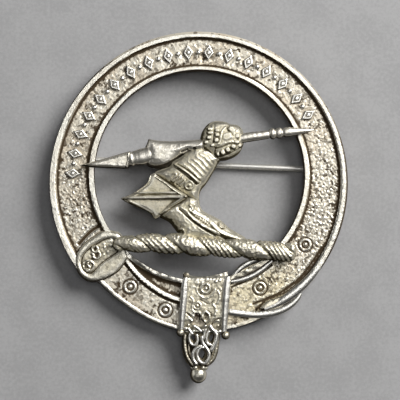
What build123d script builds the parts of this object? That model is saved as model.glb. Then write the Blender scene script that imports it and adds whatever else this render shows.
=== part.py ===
from build123d import *
import os
from math import atan2, cos, degrees, pi, radians, sin

# A cast silver strap-and-buckle brooch, in millimetres, lying face up on its pin fittings.
# The ring's centre is the working origin: X right, Y up the face, Z out of the face.

# Belt ring
ring_r = 23.9            # outer radius of the belt
opening_r = 17.0         # radius of the open middle
opening_rise = 1.35      # the opening's centre lies this far above the ring's
belt_thick = 1.5         # flat back to sunk field
rim_height = 0.6         # rims above the field
outer_rim_w = 1.0
inner_rim_w = 0.75
bead_r = 0.32            # raised lines on the belt
relief_r = 0.26          # fine wires of the scroll relief
slope_in = 1.3           # how far the belt's lower left edge is drawn in
recess_depth = 0.45      # sunk strip between the two straps at the lower left

# Eyelets and the ornament that fills the belt's upper half
eyelet_r = 0.85
eyelet_wire_r = 0.24
eyelet_dot_r = 0.34
ornament_h = 0.35        # relief of the lozenges and pellets
lozenge_share = 0.6      # a lozenge's length, as a share of the field's width at the top
lozenge_slim = 0.63      # its width, as a share of its length
pellet_r = 0.36
ornament_pitch = 9.0     # degrees from one lozenge to the next

# Buckle
buckle_long = 9.4
buckle_wide = 8.1
buckle_turn = 50.0       # its long axis, from the X axis
buckle_high = 0.95       # above the field
bed_long = 6.9           # sunk middle that holds the scrolls
bed_wide = 3.6
bed_depth = 0.45

# Keeper
keeper_w = 7.4
keeper_foot_w = 7.0
keeper_shift = 0.65      # the keeper sits a little right of the middle
keeper_plate = 0.75
keeper_lip = 0.95        # how far it wraps into the opening
keeper_sag = 0.5         # its upper edge hangs this much in the middle
keeper_ring_r = 1.22     # the largest ring of its relief
bar_r = 0.45
bar_ball_r = 0.68

# Belt tip
tip_w = 5.9
tip_drop = 5.2           # from the ring's edge to its neck
neck_w = 2.3
tip_thick = 1.35
tip_wire_r = 0.27
ball_r = 1.35

# Crest
crest_thick = 2.7        # arm and wreath, from their flat back to their crown
wreath_thick = 2.5
wreath_r = 1.6            # half its width over the twists
wreath_twists = 7
wreath_core = 0.78       # its plain core, as a share of its half width
twist_r = 1.3            # one round twist
twist_slant = -36.0      # degrees from the wreath's length
knuckle_r = 0.48
ridge_r = 0.34
rib_r = 0.2              # fine ribs of the forearm
stud_r = 0.55            # the rivet head on the upper arm
cop_edge = 0.6           # upright edge of the elbow cop
spear_rise = 0.8         # the spear's axis above the crest's back

# Pin fittings
wire_r = 0.475
rivet_r = 0.40
axis_depth = 1.05        # rivet axis behind the ring's back
eye_r = 0.76
eye_thick = 0.95
ear_r = 0.85
ear_thick = 0.7
pad_thick = 0.22
rivet_head_r = 0.64
rivet_head_h = 0.32
pad_long = 3.2           # the hinge's solder pad
pad_margin = 0.4         # solder pad beyond the ears and the hook
hook_w = 1.6
hook_strip = 0.35
hook_r = 0.55            # inner radius of the catch
hook_lip = 65.0          # degrees that its lip curls past the wire's level
point_share = 0.84       # the wire thins to this share of its radius at the catch
pin_tilt = -2.4          # degrees of the wire from the X axis
pin_rise = 3.1           # the wire's level above the ring's centre

# Clearances
solder_gap = 0.05        # seam between pieces that are fixed together
turn_gap = 0.06          # between the pin's eye and what it turns on or beside
rivet_fit = 0.02         # rivet in its ears
lip_gap = 0.05           # the wire's way past the lip of the catch

# Levels, from the foot of the pin fittings up
back_z = axis_depth + ear_r
field_z = back_z + belt_thick
rim_z = field_z + rim_height
crest_z = rim_z + solder_gap
far = 4 * ring_r


def on_clock(angle, reach):
    """A point at a clock angle in degrees from the top, turning right, and a distance."""
    return Vector(reach * sin(radians(angle)), reach * cos(radians(angle)))


def inner_reach(angle):
    """The distance from the ring's centre to the opening's edge at a clock angle."""
    rise, sway = opening_rise * cos(radians(angle)), opening_rise * sin(radians(angle))
    return rise + (opening_r ** 2 - sway ** 2) ** 0.5


def on_belt(angle, share):
    """A point of the belt at a clock angle, from 0 at its inner edge to 1 at its outer edge."""
    inner = inner_reach(angle)
    return on_clock(angle, inner + share * (ring_r - inner))


def on_field(angle, share):
    """A point of the sunk field at a clock angle, from 0 at the inner rim to 1 at the outer rim."""
    inner = inner_reach(angle) + inner_rim_w
    return on_clock(angle, inner + share * (ring_r - outer_rim_w - inner))


def on_crest(x_share, y_share):
    """A point of the crest, in shares of the opening's radius from the opening's centre."""
    return Vector(x_share * opening_r, opening_rise + y_share * opening_r)


def closed_face(*edges):
    """The flat face inside a closed run of edges."""
    return make_face(Curve() + list(edges))


def polygon(points):
    """A flat polygon face."""
    return make_face(Polyline(*points, close=True))


def slab(face, low, high):
    """A flat face stretched from one level to another."""
    return Pos(0, 0, low) * extrude(face, high - low)


def rod(start, end, radius):
    """A round bar with round ends between two points in space."""
    along = Vector(*end) - Vector(*start)
    length, slope = along.length, radius * cos(pi / 4)
    side = closed_face(
        Line((-radius, 0), (length + radius, 0)),
        ThreePointArc((length + radius, 0), (length + slope, slope), (length, radius)),
        Line((length, radius), (0, radius)),
        ThreePointArc((0, radius), (-slope, slope), (-radius, 0)),
    )
    return Plane(origin=start, x_dir=along, z_dir=along.cross(Vector(0, 0, 1))) * revolve(side, Axis.X, 360)


def curved_rod(points, radius, level):
    """A round bar along the arc through three points at one level."""
    arc = ThreePointArc(*(Vector(p.X, p.Y, level) for p in points))
    return sweep(Plane(origin=arc @ 0, z_dir=arc % 0) * Circle(radius), path=arc)


def rim_bar(inner, outer, arc_from=0, arc=360):
    """A rim about the Z axis with a rounded crown, from the back's level to the rims' level."""
    shoulder = rim_z - 0.5 * rim_height
    face = closed_face(
        Polyline((outer, 0, shoulder), (outer, 0, back_z), (inner, 0, back_z), (inner, 0, shoulder)),
        ThreePointArc((inner, 0, shoulder), ((inner + outer) / 2, 0, rim_z), (outer, 0, shoulder)),
    )
    return Rot(0, 0, arc_from) * revolve(face, Axis.Z, arc)


def facets(outline, peak, low, edge, high):
    """A solid with a flat foot, a low upright edge and plane facets that rise to one peak.

    Each row of the outline is a point and the share of the rise that its edge already has.
    """
    foot = [Vector(p.X, p.Y, low) for p, _ in outline]
    brow = [Vector(p.X, p.Y, low + edge + rise * (high - low - edge)) for p, rise in outline]
    top = Vector(peak.X, peak.Y, high)
    faces = [Face(Wire.make_polygon(foot, close=True))]
    for i in range(len(outline)):
        k = (i + 1) % len(outline)
        faces.append(Face(Wire.make_polygon([brow[i], brow[k], top], close=True)))
        faces.append(Face(Wire.make_polygon([foot[i], foot[k], brow[k]], close=True)))
        faces.append(Face(Wire.make_polygon([foot[i], brow[k], brow[i]], close=True)))
    return Part() + Solid(Shell(faces))


def half_round(left, right, height):
    """A half ellipse that stands on the line between two points of the crest."""
    middle = (left + right) * 0.5
    along = right - left
    plane = Plane(origin=(middle.X, middle.Y, crest_z), x_dir=along, z_dir=along.cross(Vector(0, 0, 1)))
    half = along.length / 2
    crown = EllipticalCenterArc((0, 0), half, height, 0, arc_size=180)
    return plane * closed_face(crown, Line((-half, 0), (half, 0)))


# Belt ring
def belt_outline():
    """The belt's outer edge: round, but drawn in between the buckle and the keeper."""
    start = on_clock(165, ring_r)
    top = on_clock(0, ring_r)
    turn = on_clock(229, ring_r)
    drawn = on_clock(224, ring_r - slope_in)
    middle = on_clock(209.5, ring_r - 0.8 * slope_in)
    foot = on_clock(190, ring_r - 0.1)
    return closed_face(
        ThreePointArc(start, top, turn), Line(turn, drawn),
        ThreePointArc(drawn, middle, foot), ThreePointArc(foot, on_clock(178, ring_r), start),
    )


belt_lines = (
    # three points as clock angle and share of the belt's width, thickness in shares of a bead
    ((222, 0.795), (209, 0.852), (192, 0.939), 1.0),
    ((134, 0.884), (145, 0.836), (155, 0.757), 1.3),
    ((140, 0.955), (152, 0.935), (167, 0.622), 1.25),
)
eyelet_places = (
    # clock angle and share of the belt's width
    (119.3, 0.430), (150.2, 0.436), (195.5, 0.650), (215.0, 0.532),
)


def left_strap_line(share):
    """Three points of the line between the left strap and its sunk strip, moved out by a share."""
    places = ((221, 0.061), (206, 0.226), (189, 0.369))
    return [on_field(angle, reach + share) for angle, reach in places]


def belt_ring():
    """The belt bent into a ring, with rims, eyelets, folds and the ornament of its upper half."""
    opening = Pos(0, opening_rise)
    raised = [
        flap(),
        rim_bar(ring_r - outer_rim_w, ring_r, -48, 258),
        opening * rim_bar(opening_r, opening_r + inner_rim_w),
        curved_rod(left_strap_line(0.0), bead_r, field_z + 0.3 * bead_r),
    ]
    for start, middle, end, thicker in belt_lines:
        points = [on_belt(angle, share) for angle, share in (start, middle, end)]
        raised.append(curved_rod(points, bead_r * thicker, field_z))
    ring = slab(belt_outline() - opening * Circle(opening_r), back_z, field_z) - sunk_strip()
    for part in raised:
        ring += part - keeper_room() - buckle_room()
    for angle, share in eyelet_places:
        spot = on_belt(angle, share)
        ring += Pos(spot.X, spot.Y, field_z) * eyelet()
    return ring + ornament()


def flap():
    """The turned edge of the right strap, a lens that reaches into the opening."""
    start, end = on_belt(138, 0.13), on_belt(163, 0.08)
    lens = closed_face(ThreePointArc(start, on_belt(150.5, -0.178), end),
                       ThreePointArc(end, on_belt(150, 0.252), start))
    return slab(lens, back_z + 0.2 * belt_thick, field_z + 0.1 * rim_height)


def sunk_strip():
    """The sunk strip between the left strap and the inner rim."""
    upper = left_strap_line(-0.03)
    lower = [on_field(angle, -0.03) for angle in (221, 206, 189)]
    face = closed_face(ThreePointArc(*upper), Line(upper[2], lower[2]),
                       ThreePointArc(*lower[::-1]), Line(lower[0], upper[0]))
    return slab(face, field_z - recess_depth, far)


def eyelet():
    """A raised ring with a dot in the middle, half sunk in the field."""
    return Torus(eyelet_r, eyelet_wire_r) + Pos(0, 0, -0.3 * eyelet_dot_r) * Sphere(eyelet_dot_r)


def ornament():
    """A row of lozenges with pellets between them, where the belt's lettering would be."""
    row = Part()
    first, last = -86.0, 64.0
    count = int((last - first) / ornament_pitch)
    for i in range(2 * count + 1):
        angle = first + i * ornament_pitch / 2
        middle = (inner_reach(angle) + inner_rim_w + ring_r - outer_rim_w) / 2
        place = Pos(*on_clock(angle, middle)) * Rot(0, 0, -angle)
        row += place * (lozenge() if i % 2 == 0 else Pos(0, 0, field_z) * Sphere(pellet_r))
    return row


def lozenge():
    """A pointed lozenge that stands on the field."""
    field_w = ring_r - outer_rim_w - inner_rim_w - inner_reach(0)
    half = lozenge_share * field_w / 2
    points = [(0, half), (-lozenge_slim * half, 0), (0, -half), (lozenge_slim * half, 0)]
    outline = [(Vector(*p), 0.0) for p in points]
    return facets(outline, Vector(0, 0), field_z - 0.1, 0.1, field_z + ornament_h)


# Buckle
def buckle_place():
    """The middle of the buckle on the belt's lower left."""
    spot = on_belt(232.6, 0.464)
    return Pos(spot.X, spot.Y) * Rot(0, 0, buckle_turn)


def buckle_room():
    """The space that the buckle takes out of the rims."""
    face = buckle_place() * Ellipse(buckle_long / 2 + solder_gap, buckle_wide / 2 + solder_gap)
    return slab(face, field_z, far)


def buckle():
    """The domed buckle frame with two scrolls in its sunk middle."""
    low, high = field_z + solder_gap, field_z + buckle_high
    frame = slab(Ellipse(buckle_long / 2, buckle_wide / 2), low, high)
    frame = chamfer(frame.edges().group_by(Axis.Z)[-1], 0.35 * buckle_high)
    frame -= slab(Ellipse(bed_long / 2, bed_wide / 2), high - bed_depth, far)
    bed = high - bed_depth
    frame += Pos(-bed_long * 0.24, 0, bed) * Torus(bed_wide * 0.30, relief_r)
    frame += Pos(bed_long * 0.10, bed_wide * 0.06, bed) * Torus(bed_wide * 0.21, relief_r)
    for start, end in (((-0.30, -0.1), (-0.16, 0.1)), ((0.26, -0.15), (0.36, 0.1))):
        frame += rod((bed_long * start[0], bed_wide * start[1], bed),
                     (bed_long * end[0], bed_wide * end[1], bed), relief_r)
    return buckle_place() * frame - wreath_room


# Keeper
keeper_top_y = opening_rise - opening_r + keeper_lip
keeper_foot_y = -ring_r - 0.1


def keeper_face(grow=0.0):
    """The keeper's plate: straight sides that draw in a little and a top edge that sags."""
    top, foot = keeper_w / 2 + grow, keeper_foot_w / 2 + grow
    high, low = keeper_top_y + grow, keeper_foot_y - grow
    shape = closed_face(
        ThreePointArc((-top, high), (0, high - keeper_sag), (top, high)),
        Polyline((top, high), (foot, low), (-foot, low), (-top, high)),
    )
    return Pos(keeper_shift, 0) * shape


def keeper_room():
    """The space that the keeper takes out of the rims and the opening's lower edge."""
    return slab(keeper_face(solder_gap), field_z, far)


def bar_foot(side):
    """The middle of the ball at the foot of the left (-1) or right (1) bar."""
    across = side * (keeper_foot_w / 2 - 0.4 * bar_r)
    return Vector(keeper_shift + across, keeper_foot_y + 0.2, field_z + solder_gap + keeper_plate)


def keeper():
    """The keeper: a plate over the belt, a lip into the opening, side bars, balls and scrolls."""
    low = field_z + solder_gap
    top = low + keeper_plate
    band = slab(keeper_face(), low, top)
    lip = keeper_face() & Pos(0, opening_rise) * Circle(opening_r - solder_gap)
    band += slab(lip, back_z, low)
    for side in (-1, 1):
        head = (keeper_shift + side * (keeper_w / 2 - bar_r * 0.6), keeper_top_y - 0.2, top)
        foot = bar_foot(side)
        band += rod(head, (foot.X, foot.Y, top), bar_r)
        band += Pos(*foot) * Sphere(bar_ball_r)
    span = keeper_top_y - keeper_foot_y
    rings = (
        # across and down in shares of the keeper, radius in shares of its largest ring
        (0.06, 0.26, 1.0), (0.06, 0.26, 0.4), (-0.13, 0.56, 0.5),
    )
    for across, down, radius in rings:
        spot = Pos(keeper_shift + across * keeper_w, keeper_top_y - down * span, top)
        band += spot * Torus(radius * keeper_ring_r, relief_r)
    for side in (-1, 1):
        leaf = (keeper_shift + side * 0.20 * keeper_w, keeper_top_y - 0.84 * span, top)
        stem = (keeper_shift + side * 0.03 * keeper_w, keeper_top_y - 0.66 * span, top)
        band += rod(leaf, stem, relief_r)
    drop = Pos(keeper_shift - 0.10 * keeper_w, keeper_top_y - 0.87 * span)
    leaf_hole = drop * Ellipse(0.5 * keeper_ring_r, 0.4 * keeper_ring_r)
    return band - slab(leaf_hole, low + 0.25 * keeper_plate, far)


# Belt tip
tip_top_y = keeper_foot_y - solder_gap
tip_neck_y = tip_top_y - tip_drop
ball_y = tip_neck_y - ball_r * 0.9
tip_z = field_z + solder_gap + keeper_plate


def tip_face():
    """The chape's outline: swelling sides that draw in to the neck."""
    half, neck = tip_w / 2, neck_w / 2
    waist = tip_top_y - 0.45 * tip_drop
    return closed_face(
        Line((half, tip_top_y), (-half, tip_top_y)),
        ThreePointArc((-half, tip_top_y), (-half * 0.98, waist), (-neck, tip_neck_y)),
        Line((-neck, tip_neck_y), (neck, tip_neck_y)),
        ThreePointArc((neck, tip_neck_y), (half * 0.98, waist), (half, tip_top_y)),
    )


def belt_tip():
    """The pierced chape with wire rings about its three holes, a collar and a ball."""
    holes = (
        # across and down in shares of the tip's width and drop, half width, half height, turn
        (-0.21, 0.24, 0.50, 0.78, 12),
        (0.26, 0.22, 0.52, 0.95, -14),
        (0.02, 0.66, 0.56, 0.88, 0),
    )
    tip = slab(tip_face(), back_z, tip_z - tip_wire_r)
    for across, down, wide, tall, turn in holes:
        spot = Pos(across * tip_w, tip_top_y - down * tip_drop) * Rot(0, 0, turn)
        collar = Ellipse(wide + 1.6 * tip_wire_r, tall + 1.6 * tip_wire_r)
        tip += slab(spot * collar & tip_face(), back_z, tip_z)
    for across, down, wide, tall, turn in holes:
        spot = Pos(across * tip_w, tip_top_y - down * tip_drop) * Rot(0, 0, turn)
        tip -= slab(spot * Ellipse(wide, tall), 0, far)
    collar_z = back_z + tip_thick / 2
    tip += Pos(0, tip_neck_y + 0.1, collar_z) * Rot(90, 0, 0) * Torus(neck_w * 0.33, neck_w * 0.15)
    tip += Pos(0, ball_y, collar_z) * Sphere(ball_r)
    for side in (-1, 1):
        tip -= Pos(*bar_foot(side)) * Sphere(bar_ball_r + solder_gap)
    return tip


# Wreath
wreath_left = on_crest(-0.790, -0.664)
wreath_right = on_crest(0.875, -0.724)


def wreath_form(grow=0.0):
    """The twisted wreath: a core with slanted round twists, cut flat at the back."""
    along = wreath_right - wreath_left
    turn = degrees(atan2(along.Y, along.X))
    core_r = wreath_core * wreath_r
    middle_z = crest_z + wreath_thick - core_r
    inset = along.normalized() * core_r
    start, end = wreath_left + inset, wreath_right - inset
    form = rod((start.X, start.Y, middle_z), (end.X, end.Y, middle_z), core_r + grow)
    pitch = (along.length - 2 * wreath_r) / (wreath_twists - 1)
    reach = (wreath_r - twist_r) / abs(sin(radians(twist_slant)))
    for i in range(wreath_twists):
        spot = wreath_left + along.normalized() * (wreath_r + i * pitch)
        twist = rod((-reach, 0, 0), (reach, 0, 0), twist_r + grow)
        form += Pos(spot.X, spot.Y, middle_z) * Rot(0, 0, turn + twist_slant) * twist
    return form - Pos(0, 0, crest_z - grow - far / 2) * Box(far, far, far)


# Armoured arm
arm_sections = {
    # name: left x, left y, right x, right y in shares of the opening's radius, height in shares
    "base": (-0.080, -0.630, 0.490, -0.655, 0.78),
    "shoulder": (-0.440, -0.345, -0.020, -0.235, 0.94),
    "elbow": (-0.456, -0.005, -0.014, -0.203, 0.95),
    "cuff": (-0.258, 0.103, 0.041, -0.105, 0.92),
    "wrist": (-0.139, 0.222, 0.163, 0.108, 0.90),
    "palm": (0.020, 0.285, 0.255, 0.170, 0.86),
}
hand_centre = on_crest(0.206, 0.310)
hand_r = 0.188 * opening_r
cop_peak = on_crest(-0.144, -0.222)
cop_outline = (
    # x and y in shares of the opening's radius, share of the rise at the edge
    (-0.456, -0.005, 0.45), (-0.492, -0.077, 0.05), (-0.620, -0.165, 0.05), (-0.726, -0.231, 0.12),
    (-0.592, -0.302, 0.05), (-0.456, -0.366, 0.05), (-0.384, -0.393, 0.45), (0.003, -0.300, 0.30),
    (-0.010, -0.203, 0.30),
)


def arm_face(name):
    """One cross section of the arm, standing on its two edge points."""
    left_x, left_y, right_x, right_y, height = arm_sections[name]
    return half_round(on_crest(left_x, left_y), on_crest(right_x, right_y), height * crest_thick)


def cuff_ridge(name, share, radius):
    """A ridge across the forearm, between a named section and the wrist."""
    ends = []
    for side in (0, 2):
        near, tip = arm_sections[name], arm_sections["wrist"]
        ends.append(on_crest(near[side] + share * (tip[side] - near[side]),
                             near[side + 1] + share * (tip[side + 1] - near[side + 1])))
    spare = (ends[1] - ends[0]).normalized() * 0.5 * rib_r
    half = half_round(ends[0] - spare, ends[1] + spare, (arm_sections[name][4] + 0.06) * crest_thick)
    return extrude(half, radius, both=True)


def knuckles():
    """Studs on the gauntlet's fingers and thumb."""
    studs = Part()
    rows = ((70, 0.45, 0.25), (200, 0.45, 0.55), (320, 0.60, 0.75))
    for start, out, step in rows:
        for i in range(4):
            angle = radians(start + 22 * i)
            reach = hand_r * (out + step * 0.12 * i)
            x, y = reach * cos(angle), reach * sin(angle)
            height = (hand_r ** 2 - x ** 2 - y ** 2) ** 0.5
            studs += Pos(hand_centre.X + x, hand_centre.Y + y, crest_z + height * 0.93) * Sphere(knuckle_r)
    return studs


def armoured_arm():
    """The bent arm in armour: upper arm, elbow cop, forearm, cuff, ribs and clenched hand."""
    arm = loft([arm_face("base"), arm_face("shoulder")])
    arm += loft([arm_face("elbow"), arm_face("cuff")])
    arm += loft([arm_face("cuff"), arm_face("wrist")])
    arm += loft([arm_face("wrist"), arm_face("palm")])
    outline = [(on_crest(x, y), rise) for x, y, rise in cop_outline]
    arm += facets(outline, cop_peak, crest_z, cop_edge, crest_z + 1.08 * crest_thick)
    ball = Pos(hand_centre.X, hand_centre.Y, crest_z) * Sphere(hand_r)
    arm += ball - Pos(0, 0, crest_z - far / 2) * Box(far, far, far)
    arm += knuckles()
    arm += cuff_ridge("cuff", 0.0, ridge_r)
    for i in range(3):
        arm += cuff_ridge("cuff", 0.35 + 0.2 * i, rib_r)
    crown, ridge_fall = crest_z + 0.86 * crest_thick, 0.17 * crest_thick
    for start, end in (((-0.17, -0.335), (0.17, -0.575)), ((-0.07, -0.325), (0.30, -0.575))):
        head, foot = on_crest(*start), on_crest(*end)
        arm += rod((head.X, head.Y, crown), (foot.X, foot.Y, crown - ridge_fall), ridge_r)
    stud = on_crest(0.203, -0.475)
    arm += Pos(stud.X, stud.Y, crest_z + 0.5 * crest_thick) * Sphere(stud_r)
    return arm - wreath_room - spear_form(solder_gap)


# Broken spear
spear_front = on_crest(-1.100, 0.092)
spear_rear = on_crest(1.055, 0.417)
spear_z = crest_z + spear_rise
spear_profile = (
    # along the spear and radius, in shares of its length and of the opening's radius
    (0.000, 0.010), (0.199, 0.072), (0.205, 0.072), (0.212, 0.036), (0.290, 0.046),
    (0.300, 0.100), (0.512, 0.036), (0.697, 0.040), (0.810, 0.036), (0.818, 0.050),
    (0.838, 0.050), (0.846, 0.030), (0.856, 0.048), (0.872, 0.048), (0.880, 0.032),
    (1.000, 0.010),
)


def spear_form(grow=0.0):
    """The spear as one turned form along its length."""
    along = spear_rear - spear_front
    length = along.length
    rim = [(share * length, share_r * opening_r + grow) for share, share_r in spear_profile]
    face = polygon([(0, 0)] + rim + [(length, 0)])
    turned = revolve(face, Axis.X, 360)
    return Pos(spear_front.X, spear_front.Y, spear_z) * Rot(0, 0, degrees(atan2(along.Y, along.X))) * turned


# Pin fittings, about the rivet's axis: X along the wire, Z towards the ring's back
pin_left = Pos(0, pin_rise, back_z - axis_depth) * Rot(0, 0, pin_tilt)
hinge_x = -(ring_r + opening_r) / 2 + 0.4
catch_x = (ring_r + opening_r) / 2 - 0.6
stem_start = 4.4                     # from the rivet's axis to the round wire
stem_end = opening_r - 1.6 - hinge_x
pad_top = axis_depth - solder_gap


def ears_and_pad():
    """Solder pad with two ears that carry the rivet."""
    gap = eye_thick / 2 + turn_gap
    outer = gap + ear_thick
    base = Pos(0, 0, pad_top - pad_thick / 2) * Box(pad_long, 2 * (outer + pad_margin), pad_thick)
    side = polygon([(-ear_r * 1.25, pad_top - pad_thick), (-ear_r, 0), (ear_r, 0),
                    (ear_r * 1.25, pad_top - pad_thick)]) + Circle(ear_r)
    for low in (gap, -outer):
        base += Pos(0, low, 0) * (Rot(90, 0, 0) * slab(side, -ear_thick, 0))
    return base - Rot(90, 0, 0) * Cylinder(rivet_r + rivet_fit, far)


def rivet():
    """The rivet with a bevelled head outside each ear, turned in one piece."""
    seat = eye_thick / 2 + turn_gap + ear_thick + rivet_fit
    crown = seat + rivet_head_h
    half = [(crown, 0.6 * rivet_head_r), (seat + 0.4 * rivet_head_h, rivet_head_r),
            (seat, rivet_head_r), (seat, rivet_r)]
    rim = half + [(-x, y) for x, y in reversed(half)]
    return Rot(0, 0, 90) * revolve(polygon([(crown, 0)] + rim + [(-crown, 0)]), Axis.X, 360)


def stem():
    """The pin wire: flat eye, round wire, a slow taper to the catch and a point."""
    reach = catch_x - hinge_x
    thin = wire_r * point_share
    profile = [(0, 0), (0, wire_r * 0.9), (stem_start, wire_r), (stem_end, wire_r),
               (reach - hook_w, thin), (reach + hook_w, thin), (reach + 2.2 * hook_w, 0.13 * wire_r),
               (reach + 2.2 * hook_w, 0)]
    wire = revolve(polygon(profile), Axis.X, 360)
    wire += Rot(90, 0, 0) * Cylinder(eye_r, eye_thick)
    return wire - Rot(90, 0, 0) * Cylinder(rivet_r + turn_gap, far)


def hook():
    """A C hook on a solder pad; the wire lies just clear of its lip and springs in under it."""
    middle = wire_r * point_share + lip_gap - hook_r * cos(radians(hook_lip))
    outer_r = hook_r + hook_strip
    half, whole = radians(hook_lip / 2), radians(hook_lip)
    side = closed_face(
        Polyline((hook_r, 0), (hook_r, pad_top), (outer_r, pad_top), (outer_r, 0)),
        ThreePointArc((outer_r, 0), (outer_r * cos(half), -outer_r * sin(half)),
                      (outer_r * cos(whole), -outer_r * sin(whole))),
        Line((outer_r * cos(whole), -outer_r * sin(whole)), (hook_r * cos(whole), -hook_r * sin(whole))),
        ThreePointArc((hook_r * cos(whole), -hook_r * sin(whole)),
                      (hook_r * cos(half), -hook_r * sin(half)), (hook_r, 0)),
    )
    across = Plane(origin=(-hook_w / 2, middle, 0), x_dir=(0, 1, 0), z_dir=(1, 0, 0))
    long = 2 * (outer_r + 1.5 * pad_margin)
    pad = Pos(0, middle, pad_top - pad_thick / 2) * Box(hook_w + 2 * pad_margin, long, pad_thick)
    return pad + extrude(across * side, hook_w)


# The whole brooch
wreath_room = wreath_form(solder_gap)
hinge = pin_left * Pos(hinge_x, 0, 0)
catch = pin_left * Pos(catch_x, 0, 0)
pieces = {
    "belt_ring": belt_ring(),
    "buckle": buckle(),
    "keeper": keeper(),
    "belt_tip": belt_tip(),
    "wreath": wreath_form(),
    "armoured_arm": armoured_arm(),
    "broken_spear": spear_form(),
    "pin_hinge": hinge * ears_and_pad(),
    "hinge_rivet": hinge * rivet(),
    "pin_stem": hinge * stem(),
    "catch_hook": catch * hook(),
}
box = Compound(children=[Part() + piece for piece in pieces.values()]).bounding_box()
settle = Pos(-box.center().X, -box.center().Y, -box.min.Z)
os.makedirs("parts", exist_ok=True)
for name, piece in pieces.items():
    export_step(settle * piece, f"parts/{name}.step")
axis_at = (settle * hinge).position
print("rivet axis at", [round(v, 4) for v in axis_at], "wire turned", pin_tilt)
print("ring centre at", [round(v, 4) for v in settle.position], "size", box.size)
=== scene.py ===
import logging
import math
from dataclasses import dataclass, field
from enum import Enum
from functools import reduce
from operator import add
from typing import Callable, Iterable, Sequence

import bmesh
import bpy
import numpy as np
from mathutils import Matrix, Vector, noise
from mathutils.geometry import delaunay_2d_cdt


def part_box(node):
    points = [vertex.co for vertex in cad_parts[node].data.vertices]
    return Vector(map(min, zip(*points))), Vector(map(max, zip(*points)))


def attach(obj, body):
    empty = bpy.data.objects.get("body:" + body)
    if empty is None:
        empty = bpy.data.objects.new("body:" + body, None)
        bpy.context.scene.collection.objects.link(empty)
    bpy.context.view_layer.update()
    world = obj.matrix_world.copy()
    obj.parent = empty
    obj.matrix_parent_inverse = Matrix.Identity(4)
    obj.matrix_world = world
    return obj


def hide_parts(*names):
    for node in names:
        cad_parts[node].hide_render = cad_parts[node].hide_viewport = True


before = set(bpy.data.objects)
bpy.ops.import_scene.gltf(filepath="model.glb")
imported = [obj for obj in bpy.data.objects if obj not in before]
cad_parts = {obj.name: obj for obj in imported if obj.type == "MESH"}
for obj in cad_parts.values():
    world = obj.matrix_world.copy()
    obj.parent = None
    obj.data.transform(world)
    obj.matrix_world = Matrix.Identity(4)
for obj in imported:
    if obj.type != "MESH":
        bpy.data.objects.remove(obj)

LOG = logging.getLogger("brooch")
MM = 0.001
PIXEL = 0.16                 # millimetres on the brooch for one pixel of the photo
RING_PIXEL = (199.5, 183.0)  # the ring's centre in the photo
RIM_HEIGHT = 0.6             # how far the rims stand above the belt's field, in millimetres
SEAM = 0.05                  # thickness of the solder under the crest, in millimetres
NET = 0.12                   # usual distance between the points of a line or a face, in millimetres
TINY = 1e-9                  # keeps a division away from zero

Points = Sequence[tuple[float, float]]
Swellings = Sequence[tuple[float, float, float]]
Colour = tuple[float, float, float]
Array = np.ndarray
Level = Callable[[Array, Array], Array]


def corners(node: str) -> tuple[Vector, Vector]:
    """Gives the lowest and highest corner of a CAD node, in millimetres."""
    low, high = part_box(node)
    return Vector(low) / MM, Vector(high) / MM


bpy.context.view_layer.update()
BELT_LOW, BELT_HIGH = corners("belt_ring")
RING_R = (BELT_HIGH.x - BELT_LOW.x) / 2
CENTRE = Vector(((BELT_HIGH.x + BELT_LOW.x) / 2, BELT_HIGH.y - RING_R, 0.0))
BACK_Z = BELT_LOW.z
RIM_Z = BELT_HIGH.z
FIELD_Z = RIM_Z - RIM_HEIGHT
CREST_Z = RIM_Z + SEAM


def place(points: Points) -> Array:
    """Turns photo pixels into millimetres about the ring's centre, Y up: one row for each pair."""
    spots = np.asarray(points, dtype=float)
    return np.column_stack(((spots[:, 0] - RING_PIXEL[0]) * PIXEL, (RING_PIXEL[1] - spots[:, 1]) * PIXEL))


def clock(angle: float, reach: float) -> tuple[float, float]:
    """Gives the pixel at a clock angle in degrees and a reach in pixels from the ring's centre."""
    turn = math.radians(angle)
    return RING_PIXEL[0] + reach * math.sin(turn), RING_PIXEL[1] - reach * math.cos(turn)


def smooth_line(spots: Array, step: float, closed: bool = False) -> Array:
    """Draws a smooth line through a few points.

    A point that is given twice is a corner.

    Args:
        spots: Points in millimetres.
        step: Distance between the points of the result.
        closed: Whether the line returns to its start.

    Returns:
        Evenly spaced points.
    """
    count = len(spots)
    curve_parts = 12
    t = np.linspace(0, 1, curve_parts, endpoint=False)[:, None]
    pieces = []
    for i in range(count if closed else count - 1):
        near = [(i + k) % count if closed else min(max(i + k, 0), count - 1) for k in (-1, 0, 1, 2)]
        a, b, c, d = spots[near]
        if not np.allclose(b, c):
            pieces.append(0.5 * (2 * b + (c - a) * t + (2 * a - 5 * b + 4 * c - d) * t ** 2
                                 + (3 * b - a - 3 * c + d) * t ** 3))
    line = np.vstack(pieces + [spots[:1] if closed else spots[-1:]])
    lengths = np.concatenate(([0], np.cumsum(np.linalg.norm(np.diff(line, axis=0), axis=1))))
    total = max(int(round(lengths[-1] / step)), 3)
    marks = np.linspace(0, lengths[-1], total + 1)
    even = np.column_stack([np.interp(marks, lengths, line[:, k]) for k in range(line.shape[1])])
    return even[:-1] if closed else even


def inside(points: Array, loop: Array) -> Array:
    """Tells which points lie inside a closed line.

    Args:
        points: Points to test.
        loop: Points of the line.

    Returns:
        One truth value for each point.
    """
    result = np.zeros(len(points), dtype=bool)
    x, y = points[:, 0], points[:, 1]
    for (ax, ay), (bx, by) in zip(loop, np.roll(loop, -1, axis=0)):
        if ay == by:
            continue
        crosses = ((ay > y) != (by > y)) & (x < (bx - ax) * (y - ay) / (by - ay) + ax)
        result ^= crosses
    return result


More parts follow.
